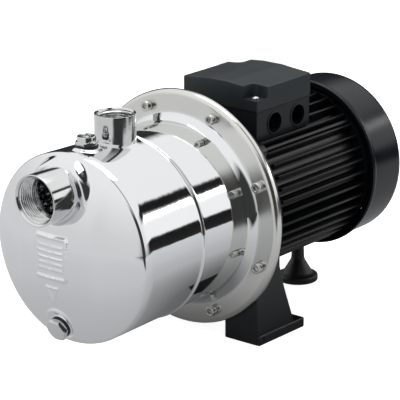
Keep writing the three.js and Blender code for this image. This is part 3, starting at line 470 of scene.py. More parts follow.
# the outlet socket, and the bosses of the two plugs
OUTLET_AT, OUTLET_TOP, OUTLET_OUTER = -96.0, 111.1, 18.75
PRIMING_AT, PRIMING_FOOT = -134.0, 84.9
DRAIN_AT, DRAIN_BELOW, DRAIN_TILT = -169.0, 67.0, 20.0
BOSS_OUTER, BOSS_BORE, BOSS_INSIDE, BOSS_PROUD = 11.5, 8.3, 7.0, 3.5
# the pressed panel with its ribs, and the arrow under it
PANEL_SIDE, PANEL_TOP, PANEL_BOTTOM, RIB_PITCH = 19.0, 19.0, -21.0, 5.2
ARROW_TOP, ARROW_TIP, ARROW_SIDE = -29.0, -44.0, 6.5
# how far the front's edge is drawn in, and over what length
ROLL_DROP, ROLL_LENGTH = 1.2, 9.0
SHEET = 2.0  # thickness of the casing's sheet
print("the casing is", 2 * (REAR_RADIUS + FILLET + LAND + LIP), "mm across its flange")

# %% [markdown]
# ## The pressed front
#
# A press gives the sheet its marks as well as its shape: a panel with level ribs and a small arrow, each one
# a rounded ridge. A ridge follows the line where a distance is zero, so a rectangle and an arrow need only
# their distance formulas, and the marks are added to the front's height like anything else.

# %% The pressed marks on the front
def rounded_box(x, z, half_x, half_z, radius):
    """Signed distance to a rounded rectangle: below zero inside it."""
    dx = np.abs(x) - half_x + radius
    dz = np.abs(z) - half_z + radius
    outside = np.hypot(np.maximum(dx, 0), np.maximum(dz, 0))
    return outside + np.minimum(np.maximum(dx, dz), 0) - radius


def ridge(distance, half_width):
    """A rounded ridge over the line where a distance is zero."""
    return np.clip(1 - (distance / half_width) ** 2, 0, 1)


def marks(x, z):
    """A plain raised panel with level ribs, and a small arrow under it."""
    middle = (PANEL_TOP + PANEL_BOTTOM) / 2
    panel = rounded_box(x, z - middle, PANEL_SIDE, (PANEL_TOP - PANEL_BOTTOM) / 2, 4.0)
    frame_line = 1.5 * ridge(panel + 1.6, 1.8)
    inside = smooth(0.0, 2.0, -(panel + 4.2))
    ribs = 0.8 * inside * np.clip(np.cos((z - middle) * 2 * np.pi / RIB_PITCH), 0, 1)
    length = ARROW_TOP - ARROW_TIP
    share = (ARROW_TOP - z) / length
    side = (np.abs(x) - ARROW_SIDE * (1 - share)) * math.cos(math.atan(ARROW_SIDE / length))
    arrow = np.maximum(side, z - ARROW_TOP)
    return frame_line + 0.35 * smooth(1.5, 0.0, panel) + ribs + 1.2 * ridge(arrow, 1.1)


def front(x, z):
    """How far the casing's front stands ahead of the flange plane."""
    r = np.minimum(np.hypot(x, z), FRONT_RADIUS)
    into = np.maximum(0, (r - (FRONT_RADIUS - SHOULDER)) / SHOULDER)
    drop = DROP_BOTTOM + (DROP_TOP - DROP_BOTTOM) * smooth(-60, 40, z)
    rounding = drop * (1 - np.sqrt(np.maximum(0, 1 - into**2)))
    dome = CROWN - (x**2 + (z + DOME_LOW) ** 2) / (2 * DOME_RADIUS) - rounding
    outward = np.maximum(0, r - FIELD_EDGE) / (FRONT_RADIUS - FIELD_EDGE)
    deeper = 1.8 * smooth(0, 60, z) * (1 - outward)
    field = CROWN - FIELD_SET - deeper - FIELD_FALL * outward**2
    soften = 9 + 4 * (r / FRONT_RADIUS) ** 4
    inner = FIELD_EDGE - 14 * smooth(50, 84, z)
    share = smooth(inner, inner + soften, np.abs(x)) * smooth(FIELD_BOTTOM, FIELD_TOP, z)
    face = dome * (1 - share) + field * share
    port = np.hypot(x, z - PORT_HEIGHT)
    lift = (1 - smooth(29.5, 34.5, port)) * (1 - smooth(FRONT_RADIUS - 12, FRONT_RADIUS, r))
    face = face + np.maximum(0, PORT_SEAT - face) * lift
    drain = np.hypot(x, z + DRAIN_BELOW)
    face = face + 1.6 * smooth(17.5, 14.5, drain) - 2.6 * smooth(14.0, 11.5, drain) + marks(x, z)
    face = face - 1.3 * smooth(26.8, 25.2, port)
    edge = np.clip((np.hypot(x, z) - FRONT_RADIUS + 1.6) / 1.6, 0, 1)
    face = face - 1.6 * (1 - np.sqrt(1 - edge**2))
    return np.where(port < PORT_OUTER - 1.4, PORT_SEAT - 26, face)


print("on the shaft's line the front stands", round(float(front(0.0, 0.0)), 1), "mm ahead of the flange")

# %% [markdown]
# ## The whole sheet
#
# The pot is drawn from one sheet, so it is one skin here: over the front, back along the side with its raised
# bead, out into the flange, round the rolled lip and home on the inside. The bosses for the two plugs are
# short turned tubes, welded into it.

# %% The casing's skin
def side_radius(a, y):
    """The pot's side: a slight taper, the raised bead, and low collars where two bosses stand on it."""
    taper = BEAD_RADIUS + (FRONT_RADIUS - BEAD_RADIUS) * np.clip((BEAD_AT - y) / 75, 0, 1)
    base = np.where(y < BEAD_AT, taper, REAR_RADIUS + 0 * y)
    base = base + (BEAD_RADIUS - REAR_RADIUS) * (1 - smooth(BEAD_AT, BEAD_AT + 3, y)) * (y >= BEAD_AT)
    base = base + 1.5 * np.exp(-(((y - BEAD_AT) / 1.7) ** 2))
    rim = -front(FRONT_RADIUS * np.sin(a), FRONT_RADIUS * np.cos(a))
    base = base - ROLL_DROP * np.clip(1 - (y - rim) / ROLL_LENGTH, 0, 1) ** 2
    x = base * np.sin(a)
    above = np.cos(a) > 0
    outlet = np.hypot(x, y - OUTLET_AT)
    priming = np.hypot(x, y - PRIMING_AT)
    base = base + above * (1.3 * (1 - smooth(17, 24, outlet)) + 2.0 * (1 - smooth(11.5, 15, priming)))
    return np.where(above & (outlet < OUTLET_OUTER - 1.2), 58.0, base)


def casing_skin(columns=320):
    """Rows over the front, back along the side, round the flange and its rolled lip, and home inside."""
    a = angles(columns)
    sine, cosine, ones = np.sin(a), np.cos(a), np.ones(columns)
    face_radius = FRONT_RADIUS * np.sin(np.linspace(0, np.pi / 2, 97)[:-1])
    x, z = np.outer(face_radius, sine), np.outer(face_radius, cosine)
    face = np.stack([x, -front(x, z), z], axis=-1)
    rim = -front(FRONT_RADIUS * sine, FRONT_RADIUS * cosine)
    share = np.linspace(0, 1, 84)[:, None] ** 1.15
    y = rim * (1 - share) + (BEAD_AT - 5) * share
    y = np.concatenate([y, np.outer(np.linspace(BEAD_AT - 4.6, BEAD_AT + 5, 15), ones)])
    y = np.concatenate([y, np.outer(np.linspace(BEAD_AT + 6, LAND_FRONT - FILLET, 12), ones)])
    radius = side_radius(a[None, :], y)
    side = np.stack([radius * sine, y, radius * cosine], axis=-1)
    bend = np.linspace(0, np.pi / 2, 10)[1:]
    land_inner = REAR_RADIUS + FILLET
    land_outer = land_inner + LAND
    flange = [(land_inner - FILLET * math.cos(t), LAND_FRONT - FILLET + FILLET * math.sin(t)) for t in bend]
    flange += [(land_outer + LIP * math.sin(t), LAND_FRONT + LIP - LIP * math.cos(t)) for t in np.r_[0, bend]]
    lip = land_outer + LIP
    inside = [(lip, 1.0), (lip - 1.8, 1.0), (lip - 1.8, -1.5), (land_outer, -4.0), (land_inner, -4.0)]
    inside += [(REAR_RADIUS - SHEET, -16.0), (REAR_RADIUS - SHEET, BEAD_AT)]
    inside += [(BEAD_RADIUS - SHEET, BEAD_AT - 6)]
    edge = turned(flange + inside, columns)
    shrink = (FRONT_RADIUS - SHEET) / FRONT_RADIUS
    inner_radius = FRONT_RADIUS * np.sin(np.linspace(np.pi / 2, 0, 14))
    x, z = np.outer(inner_radius, sine), np.outer(inner_radius, cosine)
    home = np.stack([x * shrink, 2.6 - front(x, z), z * shrink], axis=-1)
    return grid(np.concatenate([face, side, edge, home]))


def boss(outer, bore, inside, proud):
    """A short tube, welded into the sheet, with a softened outer edge."""
    start = (bore, -inside, 0)
    line = [start, (outer, -inside, 0), (outer, proud, 1.0), (bore, proud, 0.4), start]
    return turned(rounded(line)[:-1], 64)


def on_priming(points):
    """From along +Y to straight up, at the priming boss."""
    return tilted(points, 90) + np.array([0, PRIMING_AT, PRIMING_FOOT])


def on_drain(points):
    """From along +Y to forwards and down, at the drain boss."""
    return tilted(points, 180 + DRAIN_TILT) + np.array([0, DRAIN_AT, -DRAIN_BELOW])


plug_boss = boss(BOSS_OUTER, BOSS_BORE, BOSS_INSIDE, BOSS_PROUD)
bosses = [grid(place(plug_boss), loop=True) for place in (on_drain, on_priming)]
casing = together(casing_skin(), *bosses)
piece("casing", casing, POLISHED, "housing", ["casing_shell"], crease=55)

# %% [markdown]
# ## Threaded sockets
#
# Both pipe sockets are turned and have a real female pipe thread. A thread is a groove that climbs by one
# pitch each turn, so the bore's radius is a wave in (distance along / pitch - angle / full circle). The wave
# closes on itself round the seam, because a full circle shifts it by exactly one.

# %% The sockets
PITCH = 2.309  # eleven turns to 25.4 mm, on both sizes
THREAD_DEPTH = 1.15


def socket(outer, bore, length, threaded, throat, columns=144):
    """A socket along +Y with its mouth at y = 0, and its body behind it at y < 0."""
    a = angles(columns)
    shell = [(throat, -length, 0), (outer, -length, 0), (outer, 0, 0.7)]
    shell += [(bore + 1.5, 0, 0.5), (bore, -1.6, 0)]
    outside = turned(rounded(shell), columns)
    y = np.linspace(-1.7, -threaded, int(threaded / PITCH * 10))
    turn = y[:, None] / PITCH + a[None, :] / (2 * np.pi)
    wave = np.abs((turn % 1.0) * 2 - 1)
    fade = smooth(0, 1.5, -y - 1.7)[:, None]
    radius = bore - THREAD_DEPTH * fade * smooth(0.12, 0.88, wave)
    thread = np.stack([radius * np.sin(a), np.outer(y, np.ones(columns)), radius * np.cos(a)], axis=-1)
    step = [(bore - 0.6, -threaded - 0.3), (throat + 0.4, -threaded - 0.5), (throat, -threaded - 1.2)]
    return np.concatenate([outside, thread, turned(step, columns)])


suction = tilted(socket(PORT_OUTER, 20.9, 44, 19, 17.4), 180) + np.array([0, PORT_FACE, PORT_HEIGHT])
piece("suction_pipe_socket", grid(suction, loop=True), SOCKET, "housing", ["suction_socket"])
outlet = tilted(socket(OUTLET_OUTER, 16.6, 33, 18, 14.0), 90) + np.array([0, OUTLET_AT, OUTLET_TOP])
piece("outlet_pipe_socket", grid(outlet, loop=True), SOCKET, "housing", ["discharge_socket"])

# %% [markdown]
# ## Plugs and screws
#
# A hexagon head is a circle whose radius depends on the angle: half the width across the flats divided by
# the cosine of the angle from the nearest flat's middle. Taking the smaller of that and a cone gives the
# rounded corners that a turned hexagon has.

# %% Plugs and washers
def hexagon(a, across):
    """Distance from the middle to the side of a hexagon, at an angle."""
    return across / 2 / np.cos((a + np.pi / 6) % (np.pi / 3) - np.pi / 6)


def rows_of(rows, columns=96):
    """Rows given as (y, radius), where a radius may be one number or one for every angle."""
    a = angles(columns)
    table = []
    for y, radius in rows:
        r = np.broadcast_to(radius, columns)
        table.append(np.stack([r * np.sin(a), np.full(columns, float(y)), r * np.cos(a)], axis=-1))
    return np.stack(table)


def hexagon_head(across, start, height, columns=96):
    """Rows up the side of a hexagon head, each corner cut back by a cone at both ends."""
    a = angles(columns)
    side = hexagon(a, across)
    corner = across / math.sqrt(3)
    rows = []
    for share in (0.0, 0.06, 0.14, 0.26, 0.74, 0.86, 0.94, 1.0):
        near = min(share, 1 - share)
        cone = corner - 1.9 * (1 - min(near / 0.26, 1)) ** 2
        rows.append((start + height * share, np.minimum(side, cone)))
    return rows


GAP, WASHER = 0.3, 1.5  # clearance between touching pieces, and the washer's thickness
HEAD_FOOT = BOSS_PROUD + GAP + WASHER + GAP
THREAD_END = HEAD_FOOT - 9


def plug_rows(across, height, collar):
    """A plug from the end of its thread up: a plain shank, a hexagon head, and perhaps a turned collar."""
    rows = [(THREAD_END, 0.0), (THREAD_END, 7.2), (THREAD_END + 0.8, 8.0), (HEAD_FOOT, 8.0)]
    rows += hexagon_head(across, HEAD_FOOT, height)
    top = HEAD_FOOT + height
    if not collar:
        return rows + [(top + 0.02, across / 2 - 1.6), (top + 0.5, across / 2 - 2.6), (top + 0.6, 0.0)]
    rows += [(top + 0.02, 8.5), (top + 0.1, 8.4), (top + 4.0, 8.4), (top + 4.4, 8.2), (top + 4.5, 7.8)]
    return rows + [(top + 4.5, 6.8), (top + 4.2, 6.4), (top - 1.0, 6.3), (top - 1.5, 5.8), (top - 1.5, 0.0)]


def washer(inner, outer):
    """A flat ring just clear of the boss's end."""
    line = [(inner, 0, 0), (outer, 0, 0.4), (outer, WASHER, 0.4), (inner, WASHER, 0.1), (inner, 0, 0)]
    return turned(rounded(line)[:-1], 72) + np.array([0, BOSS_PROUD + GAP, 0])


priming = grid(on_priming(rows_of(plug_rows(19, 3.5, True))))
piece("priming_screw_plug", priming, SOCKET, "priming_plug", ["priming_plug"], crease=28)
drain = grid(on_drain(rows_of(plug_rows(19, 6, False))))
piece("drain_screw_plug", drain, SOCKET, "drain_plug", ["drain_plug"], crease=28)
ring = grid(on_priming(washer(8.3, 10.5)), loop=True)
piece("priming_washer", ring, RUBBER, "priming_washer", ["priming_seal"])
ring = grid(on_drain(washer(8.3, 10.5)), loop=True)
piece("drain_washer", ring, RUBBER, "drain_washer", ["drain_seal"])

# %% [markdown]
# ## Flange screws
#
# Eight screws clamp the casing's flange to the bracket. Each is turned, with a key's hexagon sunk into its
# head: the last rows of the profile take the hexagon's radius in place of a circle's.

# %% Socket-head screws round the flange
BOLT_CIRCLE = REAR_RADIUS + FILLET + LAND / 2


def socket_screw():
    """Shank, cylinder head with a broken edge, and a hexagon socket sunk into it."""
    a = angles(60)
    key = hexagon(a, 5.2)
    top = LAND_FRONT - GAP
    rows = [(top + 14, 0.0), (top + 14, 2.4), (top + 13.6, 2.7), (top, 2.7), (top, 4.4), (top - 0.3, 4.8)]
    rows += [(top - 0.8, 5.0), (top - 5.3, 5.0), (top - 5.8, 4.75), (top - 6.0, 4.3)]
    rows += [(top - 6.0, key + 0.25), (top - 5.8, key), (top - 2.9, key), (top - 2.4, 0.0)]
    return rows_of(rows, 60) + np.array([0, 0, BOLT_CIRCLE])


for number in range(8):
    screw = grid(spun(socket_screw(), 22.5 + 45 * number))
    name = f"flange_screw_{number + 1}"
    piece(f"socket_head_{number + 1}", screw, ZINC, "housing", [name], crease=40)

# %% [markdown]
# ## The bracket and its feet
#
# The bracket is one aluminium casting: a ring that the casing bolts to, a bell that carries the front
# bearing, four lugs for the tie rods, and two feet. The turned parts are profiles, and the feet are
# outlines carried sideways. A bevel modifier gives every edge the soft corner that a mould leaves.

# %% Bracket
BRACKET_FRONT, BRACKET_BACK, FRAME_FRONT = -1.4, 10.6, 50.0
LAND_OUTER = REAR_RADIUS + FILLET + LAND
FOOT_HALF, FOOT_INNER, FOOT_BACK, PLATE = 86.4, 45.4, 70.6, 9.6
FLOOR = -AXIS_HEIGHT
HOLE_AT, HOLE_RADIUS = (66.4, 59.1), 4.5
ROD_CIRCLE = 71.0  # the tie rods' distance from the shaft

bell = rounded(
    [
        (18.5, 10, 0),
        (60, 10, 6),
        (68, 2.6, 1),
        (90.5, 2.6, 0),
        (90.5, BRACKET_FRONT, 0),
        (LAND_OUTER - 0.5, BRACKET_FRONT, 1),
        (LAND_OUTER - 0.5, BRACKET_BACK, 2),
        (80, BRACKET_BACK, 4),
        (70, 24.6, 4),
        (70, FRAME_FRONT, 1),
        (62, FRAME_FRONT, 1),
        (62, 16, 3),
        (30.5, 16, 2),
        (30.5, 30, 1),
        (23.5, 30, 0.5),
        (23.5, 15.7, 0),
        (18.5, 15.7, 0),
        (18.5, 10, 0),
    ]
)
bracket_body = grid(turned(bell[:-1], 192), loop=True)


def lug(degrees):
    """The round post that a tie rod screws into."""
    line = rounded([(0, 9, 0), (8, 9, 0), (8, FRAME_FRONT, 1.5), (0, FRAME_FRONT, 0)])
    return grid(spun(turned(line, 32) + np.array([0, 0, ROD_CIRCLE]), degrees))


def block(y0, y1, top):
    """A rectangle in (y, z) that stands on the floor."""
    return [(y0, FLOOR), (y1, FLOOR), (y1, top), (y0, top)]


def foot(side):
    """Upright cheek, an outer web behind it whose back slopes, a base plate with its bolt hole, and a toe
    that closes the plate's outer front corner."""
    edge = math.sqrt((LAND_OUTER - 4) ** 2 - FOOT_HALF**2)
    front_face = BRACKET_FRONT + 3
    plate_top = FLOOR + PLATE
    slope = rounded([(58.4, plate_top, 0), (42.5, -edge - 14, 14), (36.6, -edge + 6, 0)], 6)
    web = [(front_face + 1, FLOOR + 1), (58.4, FLOOR + 1), *slope]
    web += [(36.6, -edge + 18), (front_face + 1, -edge + 18)]
    spans = [(web, 76.0, FOOT_HALF - 3.0)]
    spans += [(block(front_face, BRACKET_BACK, -edge + 4), FOOT_INNER, FOOT_HALF - 2.6)]
    spans += [(block(BRACKET_BACK - 4, FOOT_BACK, plate_top), FOOT_INNER + 0.4, FOOT_HALF)]
    spans += [(block(front_face + 0.4, BRACKET_BACK, plate_top), FOOT_HALF - 6, FOOT_HALF)]
    solids = [prism(outline, *sorted((side * a, side * b)), axis="x") for outline, a, b in spans]
    turn = angles(40)
    hole_x, hole_y = side * HOLE_AT[0], HOLE_AT[1]
    ring = np.stack([hole_x + HOLE_RADIUS * np.sin(turn), hole_y + HOLE_RADIUS * np.cos(turn)], axis=1)
    solids[2] = carved("foot plate", solids[2], [prism(ring, FLOOR - 2, plate_top + 2, axis="z")])
    return solids


bracket = together(bracket_body, *map(lug, (45, 135, 225, 315)), *foot(1), *foot(-1))
piece("bracket_and_feet", bracket, CASTING, "housing", ["motor_bracket"], bevel=1.3)

# %% [markdown]
# ## The motor's housing
#
# The housing is a finned tube. Its section is a circle that carries forty tapered fins, so the radius is a
# function of the angle: root between the fins, tip across each of them, and a steep flank between the two.
# Carried straight along the shaft, that outline is the whole outside.

# %% Finned housing
ROOT, FIN_TIP, BORE, FINS_COUNT = 66.0, 77.0, 60.3, 40
MOTOR_FRONT, MOTOR_BACK = 50.3, 182.3
BOX_HALF, BOX_FRONT, BOX_BACK = 43.5, 51.5, 133.5
SEAT_RADIUS = ROOT + 5.7


def fin_outline(tip_radius):
    """Corners of the fins, each with two points on its rounded tip and a softened foot."""
    middle = (np.arange(FINS_COUNT) + 0.5) * 2 * np.pi / FINS_COUNT
    reach = np.array([0.0, 0.5, 4.0, 9.6, 10.7, 11.0, 11.0, 10.7, 9.6, 4.0, 0.5, 0.0])
    half = np.array([3.4, 2.3, 1.9, 1.35, 1.0, 0.45, -0.45, -1.0, -1.35, -1.9, -2.3, -3.4])
    radius = ROOT + reach * (tip_radius - ROOT) / (FIN_TIP - ROOT)
    angle = middle[:, None] - half[None, :] / radius[None, :]
    return np.broadcast_to(radius, angle.shape).ravel(), angle.ravel()


def finned_tube():
    """The fins' outline at both ends and just inside them, where it is a little lower, and the bore."""
    rows = []
    for y, grow in ((MOTOR_FRONT, -0.6), (MOTOR_FRONT + 0.6, 0), (MOTOR_BACK - 0.6, 0), (MOTOR_BACK, -0.6)):
        radius, angle = fin_outline(FIN_TIP)
        radius = radius + grow * (radius - ROOT) / (FIN_TIP - ROOT)
        level = np.full(angle.shape, y)
        rows.append(np.stack([radius * np.sin(angle), level, radius * np.cos(angle)], axis=-1))
    inner = [np.stack([BORE * np.sin(angle), np.full(angle.shape, y), BORE * np.cos(angle)], axis=-1)
             for y in (MOTOR_BACK, MOTOR_FRONT)]
    return np.stack(rows + inner)


def under_box(points):
    """Fins that would run into the terminal box are cut down to just above the root."""
    x, y, z = points[..., 0], points[..., 1], points[..., 2]
    radius = np.hypot(x, z)
    under = (np.abs(x) < BOX_HALF + 1.5) & (z > 40) & (y < BOX_BACK + 1.5) & (radius > ROOT)
    shrink = np.where(under, (ROOT + 0.2) / radius, 1.0)
    return np.stack([x * shrink, y, z * shrink], axis=-1)


def lengthwise(rows, cuts):
    """Adds rows at the given y values between the two long straight ones, so a cut can follow the fins."""
    start, end = rows[1], rows[2]
    between = []
    for y in cuts:
        share = (y - start[0, 1]) / (end[0, 1] - start[0, 1])
        between.append(start * (1 - share) + end * share)
    return np.concatenate([rows[:2], np.stack(between), rows[2:]])


finned = under_box(lengthwise(finned_tube(), (BOX_BACK + 1.4, BOX_BACK + 1.6)))
seat_line = [(ROOT - 3, BOX_FRONT), (SEAT_RADIUS, BOX_FRONT), (SEAT_RADIUS, BOX_BACK), (ROOT - 3, BOX_BACK)]
SEAT_COLUMNS, SEAT_ANGLE = 40, 0.62  # the seat spans this angle, in radians, on both sides of the top
seat_angle = np.linspace(-SEAT_ANGLE, SEAT_ANGLE, SEAT_COLUMNS)
seat_r, seat_y = np.array(seat_line).T
seat = np.stack([np.outer(seat_r, np.sin(seat_angle)), np.outer(seat_y, np.ones(SEAT_COLUMNS)),
                 np.outer(seat_r, np.cos(seat_angle))], axis=-1)
seat_points, seat_faces = grid(seat, around=False, loop=True)
first_side = np.arange(len(seat_line)) * SEAT_COLUMNS
seat_faces += [first_side.tolist(), (first_side + SEAT_COLUMNS - 1).tolist()]
pad = prism([(-15, -79), (15, -79), (15, -64), (-15, -64)], MOTOR_FRONT, MOTOR_BACK, axis="y")
housing = together(grid(finned, loop=True), (seat_points, seat_faces), pad)
piece("finned_housing", housing, FINS, "housing", ["motor_frame"], crease=50)

# %% [markdown]
# ## Tie rods
#
# Four long screws pull the two end castings against the housing. Their shanks lie between the fins.

# %% Tie rods
for number in range(4):
    rod_rows = [(16.6, 0.0), (16.6, 2.0), (17.0, 2.4), (192.8, 2.4)]
    rod_rows += hexagon_head(8.4, 192.9, 4.0, 48)
    rod_rows += [(196.95, 0.0)]
    rod = rows_of(rod_rows, 48) + np.array([0, 0, ROD_CIRCLE])
    rod_mesh = grid(spun(rod, 45 + 90 * number))
    name = f"tie_rod_{number + 1}"
    piece(f"long_screw_{number + 1}", rod_mesh, DARK_ROD, "housing", [name])

# %% [markdown]
# ## The fan cover
#
# The cover is one moulding with a rolled lip in front and a grille of radial slots behind. It starts as a
# thin skin, turned from a profile. The slots are cells of the grid that are left out, and a solidify
# modifier then gives the skin its wall, with closed edges round every slot.

# %% Fan cover
COVER_FRONT, COVER_BACK, COVER_RADIUS = 185.3, 236.3, 80.5
SLOTS, SLOT_INNER, SLOT_OUTER = 12, 26.0, 64.0
SLOT_CELLS = 36  # cells round the cover for each slot; the three at each end of them are open


def fan_cover():
    """The turned skin, from its lip round the back to a dished hub, less the cells of the slots."""
    line = rounded(
        [
            (75.6, COVER_FRONT + 2.2, 0),
            (COVER_RADIUS - 1.2, COVER_FRONT + 1.6, 0.5),
            (COVER_RADIUS + 1.0, COVER_FRONT, 0.8),
            (COVER_RADIUS + 2.4, COVER_FRONT + 1.2, 1.0),
            (COVER_RADIUS + 2.4, COVER_FRONT + 4.0, 1.6),
            (COVER_RADIUS, COVER_FRONT + 6.5, 2.5),
            (COVER_RADIUS, COVER_BACK, 7.5),
            (SLOT_OUTER, COVER_BACK, 0),
        ],
        9,
    )
    disc = np.linspace(SLOT_OUTER, SLOT_INNER, 12)[1:]
    hub = np.array([24.0, 20.0, 18.0, 16.5, 10.0, 5.0, 0.0])
    dip = np.array([0.0, 0.0, -0.6, -1.2, -1.2, -1.2, -1.2])
    line = np.concatenate([line, np.stack([disc, np.full(len(disc), COVER_BACK)], axis=1)])
    line = np.concatenate([line, np.stack([hub, COVER_BACK + dip], axis=1)])
    columns = SLOTS * SLOT_CELLS
    points, faces = grid(turned(line, columns))
    cells = np.arange(len(faces)).reshape(len(line) - 1, columns)
    middle = (line[:-1] + line[1:]) / 2
    radial = (middle[:, 0] < SLOT_OUTER) & (middle[:, 0] > SLOT_INNER) & (middle[:, 1] > COVER_BACK - 0.1)
    cell = np.arange(columns) % SLOT_CELLS
    open_column = (cell < 3) | (cell > SLOT_CELLS - 4)
    gone = set(cells[np.ix_(radial, open_column)].ravel().tolist())
    return points, [face for number, face in enumerate(faces) if number not in gone]


cover = fan_cover()
piece("fan_cover_moulding", cover, COVER, "housing", ["fan_cover"], crease=40, wall=2.3)

# %% [markdown]
# ## The terminal box
#
# The box sits on a saddle over the fins. Its base has two round cable entries on the right, and its lid has
# a low roof with a crease and a notch at two corners, where the screws stand. Both are outlines in plan,
# carried upwards, and the roof closes towards the middle in shrinking copies of the outline.

# %% Lid
LID_HALF, LID_FRONT, LID_BACK = 44.0, 51.0, 134.0
LID_BOTTOM, LID_TOP, LEDGE, NOTCH = 87.2, 111.0, 97.0, 16.0
RIDGE_LEFT, RIDGE_RIGHT, ROOF_FALL = -12.0, 10.0, 3.0


def lid_outline(notch, corner):
    """Half of the plan, front right to rear right, then its half turn about the lid's middle."""
    middle = (LID_FRONT + LID_BACK) / 2
    deep = LID_FRONT + notch
    half = [(LID_HALF - notch, LID_FRONT, corner), (LID_HALF - notch, deep, notch * 0.55)]
    half += [(LID_HALF, deep, corner), (LID_HALF, LID_BACK, corner)]
    other = [(-x, 2 * middle - y, r) for x, y, r in half]
    start = (0.0, LID_FRONT, 0.0)
    return rounded([start, *half, *other, start], 8)[:-1]


def resampled(line, count):
    """Evenly spaced points along a closed line."""
    closed = np.concatenate([line, line[:1]])
    length = np.concatenate([[0], np.cumsum(np.hypot(*np.diff(closed, axis=0).T))])
    at = np.linspace(0, length[-1], count, endpoint=False)
    return np.stack([np.interp(at, length, closed[:, 0]), np.interp(at, length, closed[:, 1])], axis=1)


def roof(x):
    """The lid's height: level between two lines, and falling in a straight slope to each side."""
    right = np.maximum(0, x - RIDGE_RIGHT) / (LID_HALF - RIDGE_RIGHT)
    left = np.maximum(0, RIDGE_LEFT - x) / (LID_HALF + RIDGE_LEFT)
    return LID_TOP - ROOF_FALL * np.maximum(right, left)


def lid():
    """Rows up from the lower rim, round a small edge, over the roof in shrinking copies, and underneath."""
    plan = resampled(lid_outline(NOTCH, 1.6), 420)
    middle = np.array([0.0, (LID_FRONT + LID_BACK) / 2])
    spread = (plan - middle) / np.linalg.norm(plan - middle, axis=1)[:, None]
    rows = [np.column_stack([plan, np.full(len(plan), LID_BOTTOM)])]
    for inset, drop in ((0.0, 1.4), (0.12, 0.75), (0.45, 0.25), (1.1, 0.0)):
        there = plan - spread * inset
        rows.append(np.column_stack([there, roof(there[:, 0]) - drop]))
    for share in np.linspace(0.97, 0.0, 40):
        there = middle + (plan - spread * 1.1 - middle) * share
        rows.append(np.column_stack([there, roof(there[:, 0])]))
    underside = [np.column_stack([middle + (plan - middle) * share, np.full(len(plan), LID_BOTTOM)])
                 for share in (0.0, 0.93)]
    return grid(np.stack(rows + underside), loop=True)


def ledge(turned_round):
    """The low corner under a lid screw: a block that fills the notch up to the ledge."""
    low_x, low_y = LID_HALF - NOTCH - 1, LID_FRONT
    high_y = low_y + NOTCH + 1
    outline = rounded([(low_x, low_y + 8, 0), (low_x, low_y, 0), (LID_HALF, low_y, 2.2),
                       (LID_HALF, high_y, 0), (low_x, high_y, 0), (low_x, low_y + 8, 0)])[:-1]
    if turned_round:
        outline = np.array([0.0, LID_FRONT + LID_BACK]) - outline
    return prism(outline, LID_BOTTOM, LEDGE, axis="z")


lid_shape = together(lid(), ledge(False), ledge(True))
piece("box_lid", lid_shape, CHARCOAL, "housing", ["terminal_box_lid"], crease=22)

# %% [markdown]
# ## The box's base
#
# The base is a moulded tray with the fins' curve cut out of its floor. A boolean suits it, because a round
# saddle, a hollow and two round entries cross flat walls. A raised ring stands round each entry.

# %% Base of the box, with its cable entries
BASE_TOP, SADDLE = 85.4, SEAT_RADIUS + 0.3
ENTRY_RADIUS, ENTRY_HEIGHT, ENTRIES = 9.7, 71.0, (78.5, 114.0)


def box_plan(inset, corner):
    """The box's plan, drawn in by an inset and with rounded corners."""
    x, low, high = BOX_HALF - inset, BOX_FRONT + inset, BOX_BACK - inset
    start = (0, low, 0)
    line = [start, (x, low, corner), (x, high, corner), (-x, high, corner), (-x, low, corner), start]
    return rounded(line, 5)[:-1]


def across_wall(radius, x0, x1, y, z):
    """A short cylinder along X, used to cut an entry."""
    a = angles(48)
    rows = [np.stack([np.full(48, x), y + r * np.cos(a), z + r * np.sin(a)], axis=-1)
            for x, r in ((x0, 0.0), (x0, radius), (x1, radius), (x1, 0.0))]
    return grid(np.stack(rows))


saddle_bottom = math.sqrt(SADDLE**2 - BOX_HALF**2) - 1
base = prism(box_plan(0, 2.0), saddle_bottom, BASE_TOP, axis="z")
hollow = prism(box_plan(2.5, 1.0), saddle_bottom + 6, BASE_TOP + 5, axis="z")
saddle_line = [(0, BOX_FRONT - 9), (SADDLE, BOX_FRONT - 9), (SADDLE, BOX_BACK + 9), (0, BOX_BACK + 9)]
saddle = grid(turned(saddle_line, 160))
entries = [across_wall(ENTRY_RADIUS, BOX_HALF - 12, BOX_HALF + 6, y, ENTRY_HEIGHT) for y in ENTRIES]
box_base = carved("box base", base, [hollow, saddle, *entries])


def entry_rim(y):
    """The raised ring round a cable entry."""
    a = angles(48)
    line = rounded([(ENTRY_RADIUS, -2, 0), (ENTRY_RADIUS, 0.9, 0.4), (11.2, 0.9, 0.6), (11.2, -2, 0)], 4)
    rows = [np.stack([np.full(48, BOX_HALF + out), y + r * np.cos(a), ENTRY_HEIGHT + r * np.sin(a)], axis=-1)
            for r, out in line]
    return grid(np.stack(rows), loop=True)


box_shape = together(box_base, *map(entry_rim, ENTRIES))
piece("box_base", box_shape, DARK_BOX, "housing", ["terminal_box"], crease=40)
gasket = prism(box_plan(0.2, 2.0), BASE_TOP + 0.3, BASE_TOP + 1.5, axis="z")
piece("box_gasket", gasket, RUBBER, "housing", ["terminal_box_gasket"])

# %% [markdown]
# ## Lid screws
#
# Two screws hold the lid, at opposite corners. Each is a turned round head, and its slot is cut by lowering
# the points that lie near the middle line.

# %% Lid screws
SCREW_SPOTS = [(37.8, 57.2), (-37.8, 127.8)]


